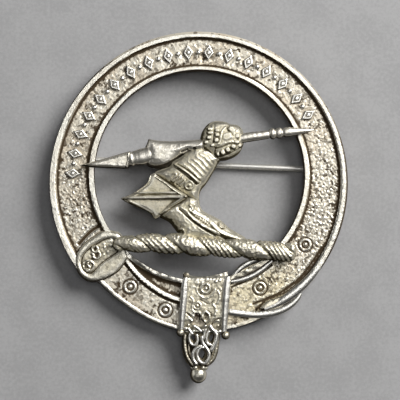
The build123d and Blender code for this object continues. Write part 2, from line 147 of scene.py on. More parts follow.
def nearest(points: Array, loop: Array) -> Array:
    """Measures the distance from each point to the nearest point of a dense line.

    Args:
        points: Points to measure from.
        loop: Dense points of the line.

    Returns:
        One distance for each point.
    """
    result = np.empty(len(points))
    block = 4000
    for start in range(0, len(points), block):
        part = points[start:start + block]
        gaps = part[:, None, :] - loop[None, :, :]
        result[start:start + block] = np.sqrt((gaps ** 2).sum(axis=2).min(axis=1))
    return result


def ramp(values: Array, low: float, high: float) -> Array:
    """Rises smoothly from 0 at one value to 1 at another."""
    t = np.clip((values - low) / (high - low), 0, 1)
    return t * t * (3 - 2 * t)


def grain(points: Array, pitch: float, seed: float) -> Array:
    """Gives smooth noise between about -1 and 1 at each point, with grains of a size in millimetres."""
    return np.array([noise.noise(Vector((x / pitch, y / pitch, seed))) for x, y in points[:, :2]]) * 2


class Profile(Enum):
    """How a stroke rises from its edge to its middle."""

    ROUND = "round"
    BELL = "bell"
    FLAT = "flat"

    def shape(self, share: Array) -> Array:
        """Gives the share of the height at a share of the half width.

        Args:
            share: Distance from the middle line, in half widths.

        Returns:
            Shares of the full height.
        """
        inner = np.clip(share, 0, 1)
        if self is Profile.ROUND:
            return np.sqrt(1 - inner ** 2)
        if self is Profile.BELL:
            return (1 - inner ** 2) ** 2
        return 1 - ramp(inner, 0.6, 1.0)


@dataclass(frozen=True)
class Stroke:
    """One raised or sunk line of a relief: pixels of its route, width in pixels, height in millimetres."""

    points: Points
    width: float
    height: float
    profile: Profile = Profile.ROUND
    ends: tuple[float, float] = (1.0, 1.0)
    closed: bool = False

    def lift(self, spots: Array) -> Array:
        """Works out how far the stroke lifts each point.

        Args:
            spots: Points in millimetres about the ring's centre.

        Returns:
            The lift in millimetres; a sunk stroke gives negative values.
        """
        result = np.zeros(len(spots))
        half = self.width * PIXEL / 2
        thinnest = 0.05
        line = place(self.points)
        if len(line) > 2 or self.closed:
            line = smooth_line(line, max(half / 2, NET), self.closed)
            if self.closed:
                line = np.vstack([line, line[:1]])
        low, high = line.min(axis=0) - half, line.max(axis=0) + half
        near = np.nonzero(((spots >= low) & (spots <= high)).all(axis=1))[0]
        part = spots[near]
        best = np.linalg.norm(part - line[0], axis=1) if len(line) == 1 else np.full(len(near), np.inf)
        along = np.zeros(len(near))
        for i in range(len(line) - 1):
            start, run = line[i], line[i + 1] - line[i]
            share = np.clip(((part - start) @ run) / max(run @ run, TINY), 0, 1)
            gap = np.linalg.norm(part - start - share[:, None] * run, axis=1)
            closer = gap < best
            best[closer] = gap[closer]
            along[closer] = (i + share[closer]) / (len(line) - 1)
        taper = self.ends[0] + (self.ends[1] - self.ends[0]) * along
        result[near] = self.height * taper * self.profile.shape(best / (half * np.maximum(taper, thinnest)))
        return result


def ring_stroke(x: float, y: float, radius: float, width: float, height: float,
                profile: Profile = Profile.ROUND) -> Stroke:
    """Draws a round stroke about a pixel.

    Args:
        x: Pixel across.
        y: Pixel down.
        radius: Radius of its middle line, in pixels.
        width: Width in pixels.
        height: Lift in millimetres.
        profile: How it rises.

    Returns:
        The stroke.
    """
    count = 10
    turns = [math.tau * i / count for i in range(count)]
    points = [(x + radius * math.cos(t), y + radius * math.sin(t)) for t in turns]
    return Stroke(points, width, height, profile, closed=True)


def dot(x: float, y: float, width: float, height: float, profile: Profile = Profile.ROUND) -> Stroke:
    """Draws a round spot at a pixel."""
    return Stroke(((x, y),), width, height, profile)


def moat(x: float, y: float, radius: float, width: float, depth: float) -> Stroke:
    """Draws a sunk ring about a pixel."""
    return ring_stroke(x, y, radius, width, -depth, Profile.BELL)


def groove(points: Points, width: float, depth: float) -> Stroke:
    """Draws a sunk line with soft sides."""
    return Stroke(points, width, -depth, Profile.BELL)


def flat_line(points: Points, width: float, height: float, ends: tuple[float, float] = (1.0, 1.0)) -> Stroke:
    """Draws a line with a flat top, or with a flat floor where its height is below zero."""
    return Stroke(points, width, height, Profile.FLAT, ends)


def sweep(*stops: tuple[float, float]) -> list[tuple[float, float]]:
    """Gives the pixels at several clock angles and reaches."""
    return [clock(angle, reach) for angle, reach in stops]


def relief(spots: Array, strokes: Iterable[Stroke]) -> Array:
    """Adds strokes up: the highest raised one and the deepest sunk one count.

    Args:
        spots: Points in millimetres.
        strokes: The strokes.

    Returns:
        The lift of each point.
    """
    up, down = np.zeros(len(spots)), np.zeros(len(spots))
    for stroke in strokes:
        lift = stroke.lift(spots)
        if stroke.height > 0:
            up = np.maximum(up, lift)
        else:
            down = np.minimum(down, lift)
    return up + down


@dataclass
class Form:
    """Vertices and faces that become one mesh, in millimetres about the ring's centre."""

    spots: Array
    faces: list[tuple[int, ...]]

    def __add__(self, other: "Form") -> "Form":
        """Joins two forms.

        Args:
            other: The form to add.

        Returns:
            A form that holds both.
        """
        shift = len(self.spots)
        moved = [tuple(i + shift for i in face) for face in other.faces]
        return Form(np.vstack([self.spots, other.spots]), self.faces + moved)

    def build(self, name: str, sharp: float = 38.0) -> bpy.types.Object:
        """Makes the Blender object and stores how raised each vertex is.

        Args:
            name: Name of the piece.
            sharp: Edges that turn by more than this many degrees stay sharp.

        Returns:
            The object.
        """
        mesh = bpy.data.meshes.new(name)
        whole = self.spots + np.array(CENTRE)
        mesh.from_pydata((whole * MM).tolist(), [], self.faces)
        mesh.validate()
        self.face_out(mesh)
        mesh.shade_smooth()
        mesh.set_sharp_from_angle(angle=math.radians(sharp))
        self.store_relief(mesh)
        piece = bpy.data.objects.new(name, mesh)
        bpy.context.scene.collection.objects.link(piece)
        return piece

    @staticmethod
    def face_out(mesh: bpy.types.Mesh) -> None:
        """Turns every face of a closed mesh outward.

        Args:
            mesh: The mesh.
        """
        shell = bmesh.new()
        shell.from_mesh(mesh)
        bmesh.ops.recalc_face_normals(shell, faces=shell.faces)
        shell.to_mesh(mesh)
        shell.free()

    @staticmethod
    def store_relief(mesh: bpy.types.Mesh, reach: float = 0.34, full: float = 0.085) -> None:
        """Stores on each vertex how far it stands above its surroundings, from -1 to 1.

        Args:
            mesh: The mesh.
            reach: Radius of the surroundings in millimetres.
            full: Height in millimetres that counts as 1.
        """
        pull, finest, least_rounds, most_rounds = 0.7, 0.02, 2, 60
        count = len(mesh.vertices)
        spots, normals = np.empty(count * 3), np.empty(count * 3)
        mesh.vertices.foreach_get("co", spots)
        mesh.vertices.foreach_get("normal", normals)
        spots = spots.reshape(-1, 3) / MM
        pairs = np.empty(len(mesh.edges) * 2, dtype=np.int64)
        mesh.edges.foreach_get("vertices", pairs)
        a, b = pairs.reshape(-1, 2).T
        step = max(float(np.median(np.linalg.norm(spots[a] - spots[b], axis=1))), finest)
        rounds = int(np.clip((reach / step) ** 2 * 2, least_rounds, most_rounds))
        degree = np.maximum(np.bincount(a, minlength=count) + np.bincount(b, minlength=count), 1)
        blurred = spots.copy()
        for _ in range(rounds):
            for k in range(3):
                near = (np.bincount(a, blurred[b, k], count) + np.bincount(b, blurred[a, k], count)) / degree
                blurred[:, k] += pull * (near - blurred[:, k])
        height = ((spots - blurred) * normals.reshape(-1, 3)).sum(axis=1) / full
        layer = mesh.attributes.new("relief", "FLOAT", "POINT")
        layer.data.foreach_set("value", np.clip(height, -1, 1).astype(np.float32))


@dataclass
class Plate:
    """A cast plate with a closed outline, a flat back and a sculpted face."""

    outline: Points
    back: float
    level: Level
    holes: Sequence[Points] = ()
    spacing: float = NET
    draft: float = 0.08

    def loop(self, points: Points) -> Array:
        """Gives the dense closed line through some pixels."""
        return smooth_line(place(points), self.spacing, closed=True)

    def form(self) -> Form:
        """Makes the face, the walls and the back.

        Returns:
            The closed form.
        """
        loops = [self.loop(self.outline)] + [self.loop(hole) for hole in self.holes]
        edge = np.vstack(loops)
        face, spots = self.triangles(loops, self.inner_points(loops, edge))
        away = nearest(spots, edge)
        away[:len(edge)] = 0
        top = self.level(spots, away)
        verts = [np.column_stack([spots, top])]
        faces = [tuple(f) for f in face]
        base, start = len(spots), 0
        foot = []
        for i, loop in enumerate(loops):
            out = self.outward(loop) * (self.draft if i == 0 else -self.draft)
            foot.append(loop + out)
            count = len(loop)
            for k in range(count):
                n = (k + 1) % count
                quad = (start + k, start + n, base + start + n, base + start + k)
                faces.append(quad if self.anticlockwise(loop) != (i == 0) else quad[::-1])
            start += count
        verts.append(np.column_stack([np.vstack(foot), np.full(len(edge), self.back)]))
        under, _ = self.triangles(foot, np.zeros((0, 2)))
        faces += [tuple(int(v) + base for v in f[::-1]) for f in under]
        return Form(np.vstack(verts), faces)

    def inner_points(self, loops: list[Array], edge: Array) -> Array:
        """Lays an even net of points inside the outline and outside the holes.

        Args:
            loops: The outer line, then the holes.
            edge: Points of all these lines.

        Returns:
            The points, none of them close to an edge.
        """
        row_share, edge_share = 0.866, 0.55
        low, high = edge.min(axis=0), edge.max(axis=0)
        net = []
        for i, y in enumerate(np.arange(low[1], high[1], self.spacing * row_share)):
            across = np.arange(low[0] + (i % 2) * self.spacing / 2, high[0], self.spacing)
            net.append(np.column_stack([across, np.full(len(across), y)]))
        points = np.vstack(net)
        points = points[self.between_loops(points, loops)]
        return points[nearest(points, edge) > edge_share * self.spacing]

    @staticmethod
    def between_loops(points: Array, loops: list[Array]) -> Array:
        """Tells which points lie inside the first loop and outside the others.

        Args:
            points: Points to test.
            loops: The outer line, then the holes.

        Returns:
            One truth value for each point.
        """
        keep = inside(points, loops[0])
        for hole in loops[1:]:
            keep &= ~inside(points, hole)
        return keep

    @classmethod
    def triangles(cls, loops: list[Array], inner: Array) -> tuple[list[tuple[int, ...]], Array]:
        """Joins loops and inner points by triangles.

        Args:
            loops: The outer line, then the holes.
            inner: Points between them.

        Returns:
            The faces, anticlockwise, and the points.
        """
        snap = 1e-6
        spots = np.vstack([*loops, inner])
        edges, start = [], 0
        for loop in loops:
            count = len(loop)
            edges += [(start + k, start + (k + 1) % count) for k in range(count)]
            start += count
        result = delaunay_2d_cdt([Vector(p) for p in spots.tolist()], edges, [], 0, snap)
        found = np.array([tuple(v) for v in result[0]])[:len(spots)]
        faces = np.array([f for f in result[2] if max(f) < len(spots)], dtype=int)
        faces = faces[cls.between_loops(found[faces].mean(axis=1), loops)]
        a, b, c = found[faces[:, 0]], found[faces[:, 1]], found[faces[:, 2]]
        turn = (b[:, 0] - a[:, 0]) * (c[:, 1] - a[:, 1]) - (b[:, 1] - a[:, 1]) * (c[:, 0] - a[:, 0])
        faces[turn < 0] = faces[turn < 0][:, ::-1]
        return [tuple(int(v) for v in f) for f in faces], found

    @staticmethod
    def anticlockwise(loop: Array) -> bool:
        """Tells which way a loop turns."""
        after = np.roll(loop, -1, axis=0)
        return bool((loop[:, 0] * after[:, 1] - after[:, 0] * loop[:, 1]).sum() > 0)

    @classmethod
    def outward(cls, loop: Array) -> Array:
        """Gives the unit directions that point out of a loop.

        Args:
            loop: Points of the loop.

        Returns:
            One direction for each point.
        """
        run = np.roll(loop, -1, axis=0) - np.roll(loop, 1, axis=0)
        out = np.column_stack([run[:, 1], -run[:, 0]])
        out /= np.maximum(np.linalg.norm(out, axis=1), TINY)[:, None]
        return out if cls.anticlockwise(loop) else -out


def join(forms: Sequence[Form]) -> Form:
    """Puts several forms into one."""
    return reduce(add, forms)


def grid(rows: Array, closed: bool = False) -> Form:
    """Joins rows of points, each row a loop, by four-sided faces.

    Args:
        rows: Points as rows, columns and X, Y, Z.
        closed: Whether the last row joins the first; otherwise a face closes each end.

    Returns:
        The form.
    """
    count, wide = rows.shape[:2]
    faces = []
    for i in range(count if closed else count - 1):
        for k in range(wide):
            j, n = (i + 1) % count, (k + 1) % wide
            faces.append((i * wide + k, i * wide + n, j * wide + n, j * wide + k))
    if not closed:
        faces.append(tuple(range(wide))[::-1])
        faces.append(tuple((count - 1) * wide + k for k in range(wide)))
    return Form(rows.reshape(-1, 3), faces)


def tube(line: Array, radii: Array, sides: int, flat: float = 1.0, round_ends: bool = True) -> Form:
    """Makes a round bar of changing thickness along a line.

    Args:
        line: Points in space.
        radii: Radius at each point.
        sides: Points around the bar.
        flat: Height of its section as a share of its width.
        round_ends: Whether the ends are domed.

    Returns:
        The closed form.
    """
    dome_rings, first_share = 4, 0.12
    run = np.gradient(line, axis=0)
    run /= np.linalg.norm(run, axis=1)[:, None]
    side = np.cross(run, (0.0, 0.0, 1.0))
    side /= np.maximum(np.linalg.norm(side, axis=1), TINY)[:, None]
    up = np.cross(side, run)
    if round_ends:
        turns = np.linspace(first_share, 1, dome_rings + 1)[:-1] * math.pi / 2
        head = [line[0] - run[0] * radii[0] * math.cos(t) for t in turns]
        tail = [line[-1] + run[-1] * radii[-1] * math.cos(t) for t in turns[::-1]]
        line = np.vstack([head, line, tail])
        radii = np.concatenate([[radii[0] * math.sin(t) for t in turns], radii,
                                [radii[-1] * math.sin(t) for t in turns[::-1]]])
        side, up = (np.pad(ways, ((dome_rings, dome_rings), (0, 0)), "edge") for ways in (side, up))
    turn = np.linspace(0, math.tau, sides, endpoint=False)
    across = np.cos(turn)[None, :, None] * side[:, None, :]
    high = np.sin(turn)[None, :, None] * up[:, None, :] * flat
    rows = line[:, None, :] + radii[:, None, None] * (across + high)
    return grid(rows)


def wire(points: Points, level: float, width: float, ends: tuple[float, float] = (1, 1)) -> Form:
    """Makes a round wire that lies along pixels at one level.

    Args:
        points: Pixels of its route.
        level: Height of its middle line in millimetres.
        width: Thickness in pixels.
        ends: Thickness at each end, as a share.

    Returns:
        The form.
    """
    sides = 14
    flat = smooth_line(place(points), NET)
    share = np.linspace(ends[0], ends[1], len(flat))
    line = np.column_stack([flat, np.full(len(flat), level)])
    return tube(line, share * width * PIXEL / 2, sides)


def ball(x: float, y: float, level: float, radius: float, squash: float = 1.0, turns: int = 28) -> Form:
    """Makes a ball at a pixel.

    Args:
        x: Pixel across.
        y: Pixel down.
        level: Height of its middle in millimetres.
        radius: Radius in millimetres.
        squash: Height as a share of its width.
        turns: Points around it.

    Returns:
        The form.
    """
    spot = place([(x, y)])[0]
    rise = np.linspace(-math.pi / 2, math.pi / 2, turns // 2 + 1)[1:-1]
    turn = np.linspace(0, math.tau, turns, endpoint=False)
    rows = np.stack([np.column_stack([spot[0] + radius * math.cos(r) * np.cos(turn),
                                      spot[1] + radius * math.cos(r) * np.sin(turn),
                                      np.full(turns, level + squash * radius * math.sin(r))]) for r in rise])
    return grid(rows)


def bar(points: Sequence[tuple[float, float, float]], level: float, flat: float) -> Form:
    """Makes a bar whose thickness changes along its length.

    Args:
        points: Pixel across, pixel down and thickness in pixels, along its length.
        level: Height of its middle line in millimetres.
        flat: Height of its section as a share of its width.

    Returns:
        The form.
    """
    step, sides, dents, dent_size, dent_seed = 0.1, 28, 0.03, 0.5, 31.0
    table = np.array(points, dtype=float)
    line = smooth_line(np.column_stack([place(table[:, :2]), table[:, 2] * PIXEL / 2]), step)
    half = line[:, 2] * (1 + dents * grain(line, dent_size, dent_seed))
    line = np.column_stack([line[:, :2], np.full(len(line), level)])
    return tube(line, half, sides, flat, round_ends=False)


class Term:
    """A shader socket that can be used in Python arithmetic."""

    def __init__(self, shader: "Shader", socket: bpy.types.NodeSocket) -> None:
        """Wraps a socket of a shader."""
        self.shader = shader
        self.socket = socket

    def math(self, operation: str, first: "Term | float", second: "Term | float") -> "Term":
        """Adds a Math node that works on two values."""
        return self.shader.node("ShaderNodeMath", {"operation": operation}, {0: first, 1: second})

    def __add__(self, other: "Term | float") -> "Term":
        """Adds."""
        return self.math("ADD", self, other)

    __radd__ = __add__

    def __sub__(self, other: "Term | float") -> "Term":
        """Takes away."""
        return self.math("SUBTRACT", self, other)

    def __rsub__(self, other: "Term | float") -> "Term":
        """Takes this away from another value."""
        return self.math("SUBTRACT", other, self)

    def __mul__(self, other: "Term | float") -> "Term":
        """Multiplies."""
        return self.math("MULTIPLY", self, other)

    __rmul__ = __mul__

    def between(self, low: float, high: float) -> "Term":
        """Rises smoothly from 0 to 1 between two values."""
        settings = {"interpolation_type": "SMOOTHSTEP"}
        return self.shader.node("ShaderNodeMapRange", settings, {0: self, 1: low, 2: high, 3: 0.0, 4: 1.0})


@dataclass
class Shader:
    """A material's node tree."""

    name: str
    material: bpy.types.Material = field(init=False)
    surface: bpy.types.Node = field(init=False)

    def __post_init__(self) -> None:
        """Starts the material with an empty principled surface."""
        self.material = bpy.data.materials.new(self.name)
        self.material.use_nodes = True
        self.surface = self.material.node_tree.nodes["Principled BSDF"]

    def node(self, kind: str, settings: dict, values: dict, result: int | str = 0) -> Term:
        """Adds any node.

        Args:
            kind: Type of the node.
            settings: Attributes that are set first.
            values: Values or links of its sockets.
            result: Which output is wanted.

        Returns:
            The output, wrapped.
        """
        made = self.material.node_tree.nodes.new(kind)
        for key, value in settings.items():
            setattr(made, key, value)
        for key, value in values.items():
            self.plug(made.inputs[key], value)
        return Term(self, made.outputs[result])

    def plug(self, socket: bpy.types.NodeSocket, value: "Term | float | tuple") -> None:
        """Links a socket to a term, or sets it to a value.

        Args:
            socket: The socket.
            value: What it takes.
        """
        if isinstance(value, Term):
            self.material.node_tree.links.new(value.socket, socket)
        else:
            socket.default_value = value

    def spots(self) -> Term:
        """Gives the surface's own coordinates in millimetres."""
        at = self.node("ShaderNodeTexCoord", {}, {}, "Object")
        return self.node("ShaderNodeVectorMath", {"operation": "MULTIPLY"}, {0: at, 1: (1 / MM,) * 3})

    def cloud(self, size: float, detail: float = 3.0, rough: float = 0.55) -> Term:
        """Gives noise from about 0.3 to 0.7 with blotches of a size in millimetres."""
        values = {"Vector": self.spots(), "Scale": 1.0 / size, "Detail": detail, "Roughness": rough}
        return self.node("ShaderNodeTexNoise", {}, values)

    def mix(self, share: Term, first: "Term | Colour", second: "Term | Colour") -> Term:
        """Mixes two colours.

        Args:
            share: Share of the second colour.
            first: First colour.
            second: Second colour.

        Returns:
            The mixed colour.
        """
        values = {0: share}
        for socket, colour in ((6, first), (7, second)):
            values[socket] = colour if isinstance(colour, Term) else (*colour, 1)
        return self.node("ShaderNodeMix", {"data_type": "RGBA"}, values, 2)

    def near(self, x: float, y: float, reach: float) -> Term:
        """Gives a blotchy patch about a place, from 1 in its middle to 0 at its reach.

        Args:
            x: Place across in millimetres.
            y: Place up in millimetres.
            reach: Reach in millimetres.

        Returns:
            The patch.
        """
        blotch_size, core_share = 1.6, 0.3
        flatten, distance = {"operation": "MULTIPLY"}, {"operation": "DISTANCE"}
        flat = self.node("ShaderNodeVectorMath", flatten, {0: self.spots(), 1: (1.0, 1.0, 0.0)})
        away = self.node("ShaderNodeVectorMath", distance, {0: flat, 1: (x, y, 0.0)}, 1)
        uneven = away + (self.cloud(blotch_size) - 0.5) * reach
        return 1 - uneven.between(reach * core_share, reach)

    def height(self) -> Term:
        """Gives the height above the floor in millimetres."""
        return self.node("ShaderNodeSeparateXYZ", {}, {0: self.spots()}, 2)

    def facing_lights(self) -> Term:
        """Gives 1 where the surface faces up and a little to the upper right, towards the lights, and 0 on an
        upright wall; it sets where painted shade falls on the sides.
        """
        values = {0: self.node("ShaderNodeTexCoord", {}, {}, "Normal"), 1: (0.2, 0.25, 0.95)}
        return self.node("ShaderNodeVectorMath", {"operation": "DOT_PRODUCT"}, values, 1)

    def raised(self) -> Term:
        """Reads how far the surface stands above its surroundings, from -1 to 1."""
        return self.node("ShaderNodeAttribute", {"attribute_name": "relief"}, {}, "Fac")


@dataclass(frozen=True)
class Silver:
    """Cast silver: polished where it is raised, with patina and stains where it is sunk, and painted shade on
    its low parts and on the sides turned away from the lights.

    Sizes, depths and heights are in millimetres. A pair of values is the range over which an effect sets in.
    """

    name: str
    bright: Colour
    dull: Colour
    tarnish_and_shade_tone: Colour
    stain: Colour
    shine: float = 0.24
    matt: float = 0.5
    wear_gain: float = 0.9
    wear_start: float = 0.55
    wear_size: float = 1.1
    wear_blotches: float = 0.5
    worn: tuple[float, float] = (0.5, 1.0)
    # range over which patina and painted shade darken the metal
    darkening: tuple[float, float] = (-0.15, 0.42)
    # over this range, surfaces turned away from the lights get painted shade
    upright: tuple[float, float] = (0.25, 0.8)
    stained: float = 0.25
    stain_size: float = 5.0
    stain_edge: tuple[float, float] = (0.45, 0.62)
    stain_wiped: float = 0.6     # share of the stain that polish takes away
    matt_size: float = 0.7
    matt_blotches: float = 0.12
    darkened_matt: float = 0.12   # how much rougher the darkened parts, patina and painted shade, are
    darkened_cover: float = 0.85  # how far the darkening, patina and painted shade, hides the metal
    pit_size: float = 0.22
    pit_depth: float = 0.1
    pit_strength: float = 0.8
    dents: tuple[float, float] = (4, 0.8)  # how many times as large as pits, and their share
    side_shade_and_patina: float = 0.7
    low_shade_and_patina: float = 0.5
    specular: float = 0.2
    graze: Colour = (0.5, 0.47, 0.42)
    oxide: float = 0.22
    speckled: float = 0.3
    speck_size: float = 0.42
    speck_edge: tuple[float, float] = (0.52, 0.58)
    speck_patches: float = 3.5
    patch_edge: tuple[float, float] = (0.35, 0.6)
    least_specks: float = 0.4    # share of the specks that stays between the patches
    # warm stain tone, pale enough to stand in for a painted golden sheen
    warm_stain_and_sheen: Colour = (0.66, 0.50, 0.27)
    stain_and_sheen_spot: tuple[float, float, float] | None = None  # middle in mm on the floor plan, and reach, of the warm stain with its painted golden sheen
    stain_and_sheen_wiped: float = 0.5      # share of the warm stain and painted sheen that polished parts lose
    stain_and_sheen_cover: float = 0.75
    foot: tuple[float, float] = (2.5, 3.25)  # below these heights the metal is darkened: painted shade on low parts, walls and lower halves, with some patina

    def build(self) -> bpy.types.Material:
        """Makes the material.

        Returns:
            The material, ready for any piece.
        """
        shader = Shader(self.name)
        # Painted shade: the lower a surface lies, the darker it is painted, with some patina.
        low = 1 - shader.height().between(*self.foot)
        # Painted shade and light: sides turned away from the upper-right lights are painted darker, sides
        # facing them brighter.
        turned_from_lights = 1 - shader.facing_lights().between(*self.upright)
        wear_and_shade = shader.raised() * (1 - turned_from_lights) * self.wear_gain + self.wear_start
        wear_and_shade = wear_and_shade + (shader.cloud(self.wear_size) - 0.5) * self.wear_blotches
        wear_and_shade = wear_and_shade - low * self.low_shade_and_patina - turned_from_lights * self.side_shade_and_patina
        # bright where raised and worn, and where the surface faces the lights: a painted sheen
        polish_and_sheen = wear_and_shade.between(*self.worn)
        tarnish_and_shade = 1 - wear_and_shade.between(*self.darkening)
        specks = shader.cloud(self.speck_size, 2.0).between(*self.speck_edge) * (1 - polish_and_sheen) * self.speckled
        patches = shader.cloud(self.speck_patches, 2.0).between(*self.patch_edge)
        specks = specks * (patches * (1 - self.least_specks) + self.least_specks)
        tarnish_and_shade = tarnish_and_shade + specks * (1 - tarnish_and_shade)
        blotch = shader.cloud(self.stain_size).between(*self.stain_edge) * self.stained
        base = shader.mix(polish_and_sheen, self.dull, self.bright)
        base = shader.mix(blotch * (1 - polish_and_sheen * self.stain_wiped), base, self.stain)
        # A warm patch at the lower right: a real warm stain with a painted golden sheen on it.
        if self.stain_and_sheen_spot:
            stain_and_sheen_patch = shader.near(*self.stain_and_sheen_spot) * (1 - polish_and_sheen * self.stain_and_sheen_wiped) * self.stain_and_sheen_cover
            base = shader.mix(stain_and_sheen_patch, base, self.warm_stain_and_sheen)
        # patina and painted shade take the dark tone
        base = shader.mix(tarnish_and_shade, base, self.tarnish_and_shade_tone)
        uneven = (shader.cloud(self.matt_size) - 0.5) * self.matt_blotches
        rough = self.matt - polish_and_sheen * (self.matt - self.shine) + uneven + tarnish_and_shade * self.darkened_matt
        dent_size, dent_share = self.dents
        pits = shader.cloud(self.pit_size, 2.0) + shader.cloud(self.pit_size * dent_size, 2.0) * dent_share
        values = {"Strength": self.pit_strength, "Distance": self.pit_depth * MM, "Height": pits}
        surface = {"Base Color": base, "Roughness": rough,
                   "Metallic": (1 - (1 - polish_and_sheen) * self.oxide) * (1 - tarnish_and_shade * self.darkened_cover),
                   "Specular IOR Level": self.specular, "Specular Tint": (*self.graze, 1),
                   "Normal": shader.node("ShaderNodeBump", {}, values)}
        for socket, value in surface.items():
            shader.plug(shader.surface.inputs[socket], value)
        return shader.material


class Finish(Enum):
    """The finishes of the brooch's pieces."""

    FIELD = Silver("stippled_field_silver", (0.95, 0.92, 0.82), (0.86, 0.80, 0.67), (0.085, 0.06, 0.035),
                   (0.70, 0.60, 0.46), shine=0.36, matt=0.55, wear_gain=0.95, wear_start=0.57, stained=0.6,
                   pit_depth=0.035, oxide=0.42, speckled=1.0, speck_size=0.78, side_shade_and_patina=0.8,
                   low_shade_and_patina=0.95, foot=(3.0, 3.40), warm_stain_and_sheen=(0.92, 0.82, 0.56),
                   # warm patch at the lower right: warm stain with a painted golden sheen
                   stain_and_sheen_spot=(float(CENTRE.x) + 9.5, float(CENTRE.y) - 18.0, 9.0))
    CREST = Silver("crest_silver", (0.93, 0.89, 0.76), (0.85, 0.79, 0.62), (0.09, 0.075, 0.04),
                   (0.68, 0.64, 0.46), shine=0.50, matt=0.62, wear_gain=0.7, wear_start=0.67, stained=0.45,
                   stain_size=3.0, pit_depth=0.03, side_shade_and_patina=0.9, graze=(0.3, 0.28, 0.23), oxide=0.48,
                   foot=(4.0, 4.5))
    ROPE = Silver("wreath_silver", (0.93, 0.88, 0.74), (0.64, 0.59, 0.44), (0.06, 0.05, 0.025),
                  (0.48, 0.46, 0.33), shine=0.46, matt=0.58, wear_gain=0.8, wear_start=0.56, stained=0.5,
                  stain_size=2.5, pit_depth=0.05, foot=(3.6, 4.7), speckled=0.6, speck_size=0.7, oxide=0.35)
    # The spear's foot heights paint the lower halves of its bars and the low strip of the broken shaft dark:
    # painted shade.
    SPEAR = Silver("spear_silver", (0.97, 0.93, 0.83), (0.92, 0.87, 0.74), (0.07, 0.06, 0.045),
                   (0.66, 0.62, 0.51), shine=0.42, matt=0.50, wear_gain=0.6, wear_start=0.80, stained=0.3,
                   stain_size=2.5, pit_depth=0.03, side_shade_and_patina=1.1, graze=(0.25, 0.23, 0.2), oxide=0.45,
                   foot=(4.7, 5.2))
    FITTING = Silver("band_silver", (0.95, 0.91, 0.78), (0.84, 0.78, 0.61), (0.065, 0.05, 0.03),
                     (0.62, 0.57, 0.44), shine=0.38, matt=0.52, wear_gain=0.8, wear_start=0.62, stained=0.4,
                     stain_size=2.5, pit_depth=0.04, speckled=0.6, speck_size=0.6, side_shade_and_patina=0.85,
                     oxide=0.4)
    CHAPE = Silver("chape_silver", (0.80, 0.75, 0.62), (0.26, 0.22, 0.15), (0.03, 0.024, 0.014),
                   (0.20, 0.18, 0.12), shine=0.38, matt=0.5, wear_gain=0.8, wear_start=0.18, stained=0.4,
                   stain_size=2.0, pit_depth=0.04, foot=(3.5, 4.05))
    POLISHED = Silver("polished_silver", (0.96, 0.94, 0.88), (0.84, 0.81, 0.72), (0.12, 0.10, 0.07),
                      (0.66, 0.62, 0.51), shine=0.34, matt=0.44, wear_gain=0.6, wear_start=0.80, stained=0.25,
                      pit_depth=0.03, foot=(2.0, 2.6), oxide=0.35)
    WIRE = Silver("pin_silver", (0.95, 0.94, 0.90), (0.86, 0.84, 0.78), (0.14, 0.12, 0.09),
                  (0.60, 0.56, 0.48), shine=0.38, matt=0.5, wear_start=0.78, stained=0.2, pit_depth=0.02,
                  side_shade_and_patina=0.5, oxide=0.5, foot=(-1.0, -0.5))


@dataclass
class Bench:
    """Dresses finished pieces and ties them to the CAD frame."""

    made: dict[Finish, bpy.types.Material] = field(default_factory=dict)

    def coat(self, finish: Finish) -> bpy.types.Material:
        """Gives the material of a finish, made once.

        Args:
            finish: The finish.

        Returns:
            Its material.
        """
        if finish not in self.made:
            self.made[finish] = finish.value.build()
        return self.made[finish]

    def dress(self, piece: bpy.types.Object, finish: Finish, nodes: Sequence[str] = ()) -> None:
        """Gives a piece its material and body, and hides the CAD nodes that it stands for.

        Args:
            piece: The piece.
            finish: Its finish.
            nodes: CAD nodes that it replaces.
        """
        piece.data.materials.append(self.coat(finish))
        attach(piece, "brooch")
        if nodes:
            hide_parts(*nodes)
        LOG.info("%s: %d vertices", piece.name, len(piece.data.vertices))

    def keep(self, node: str, finish: Finish) -> None:
        """Gives a carried-over CAD node its material.

        Args:
            node: Name of the node.
            finish: Its finish.
        """
        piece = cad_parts[node]
        for holder in piece.material_slots:
            holder.material = self.coat(finish)
        if not piece.material_slots:
            piece.data.materials.append(self.coat(finish))
        LOG.info("%s: kept from the frame", node)


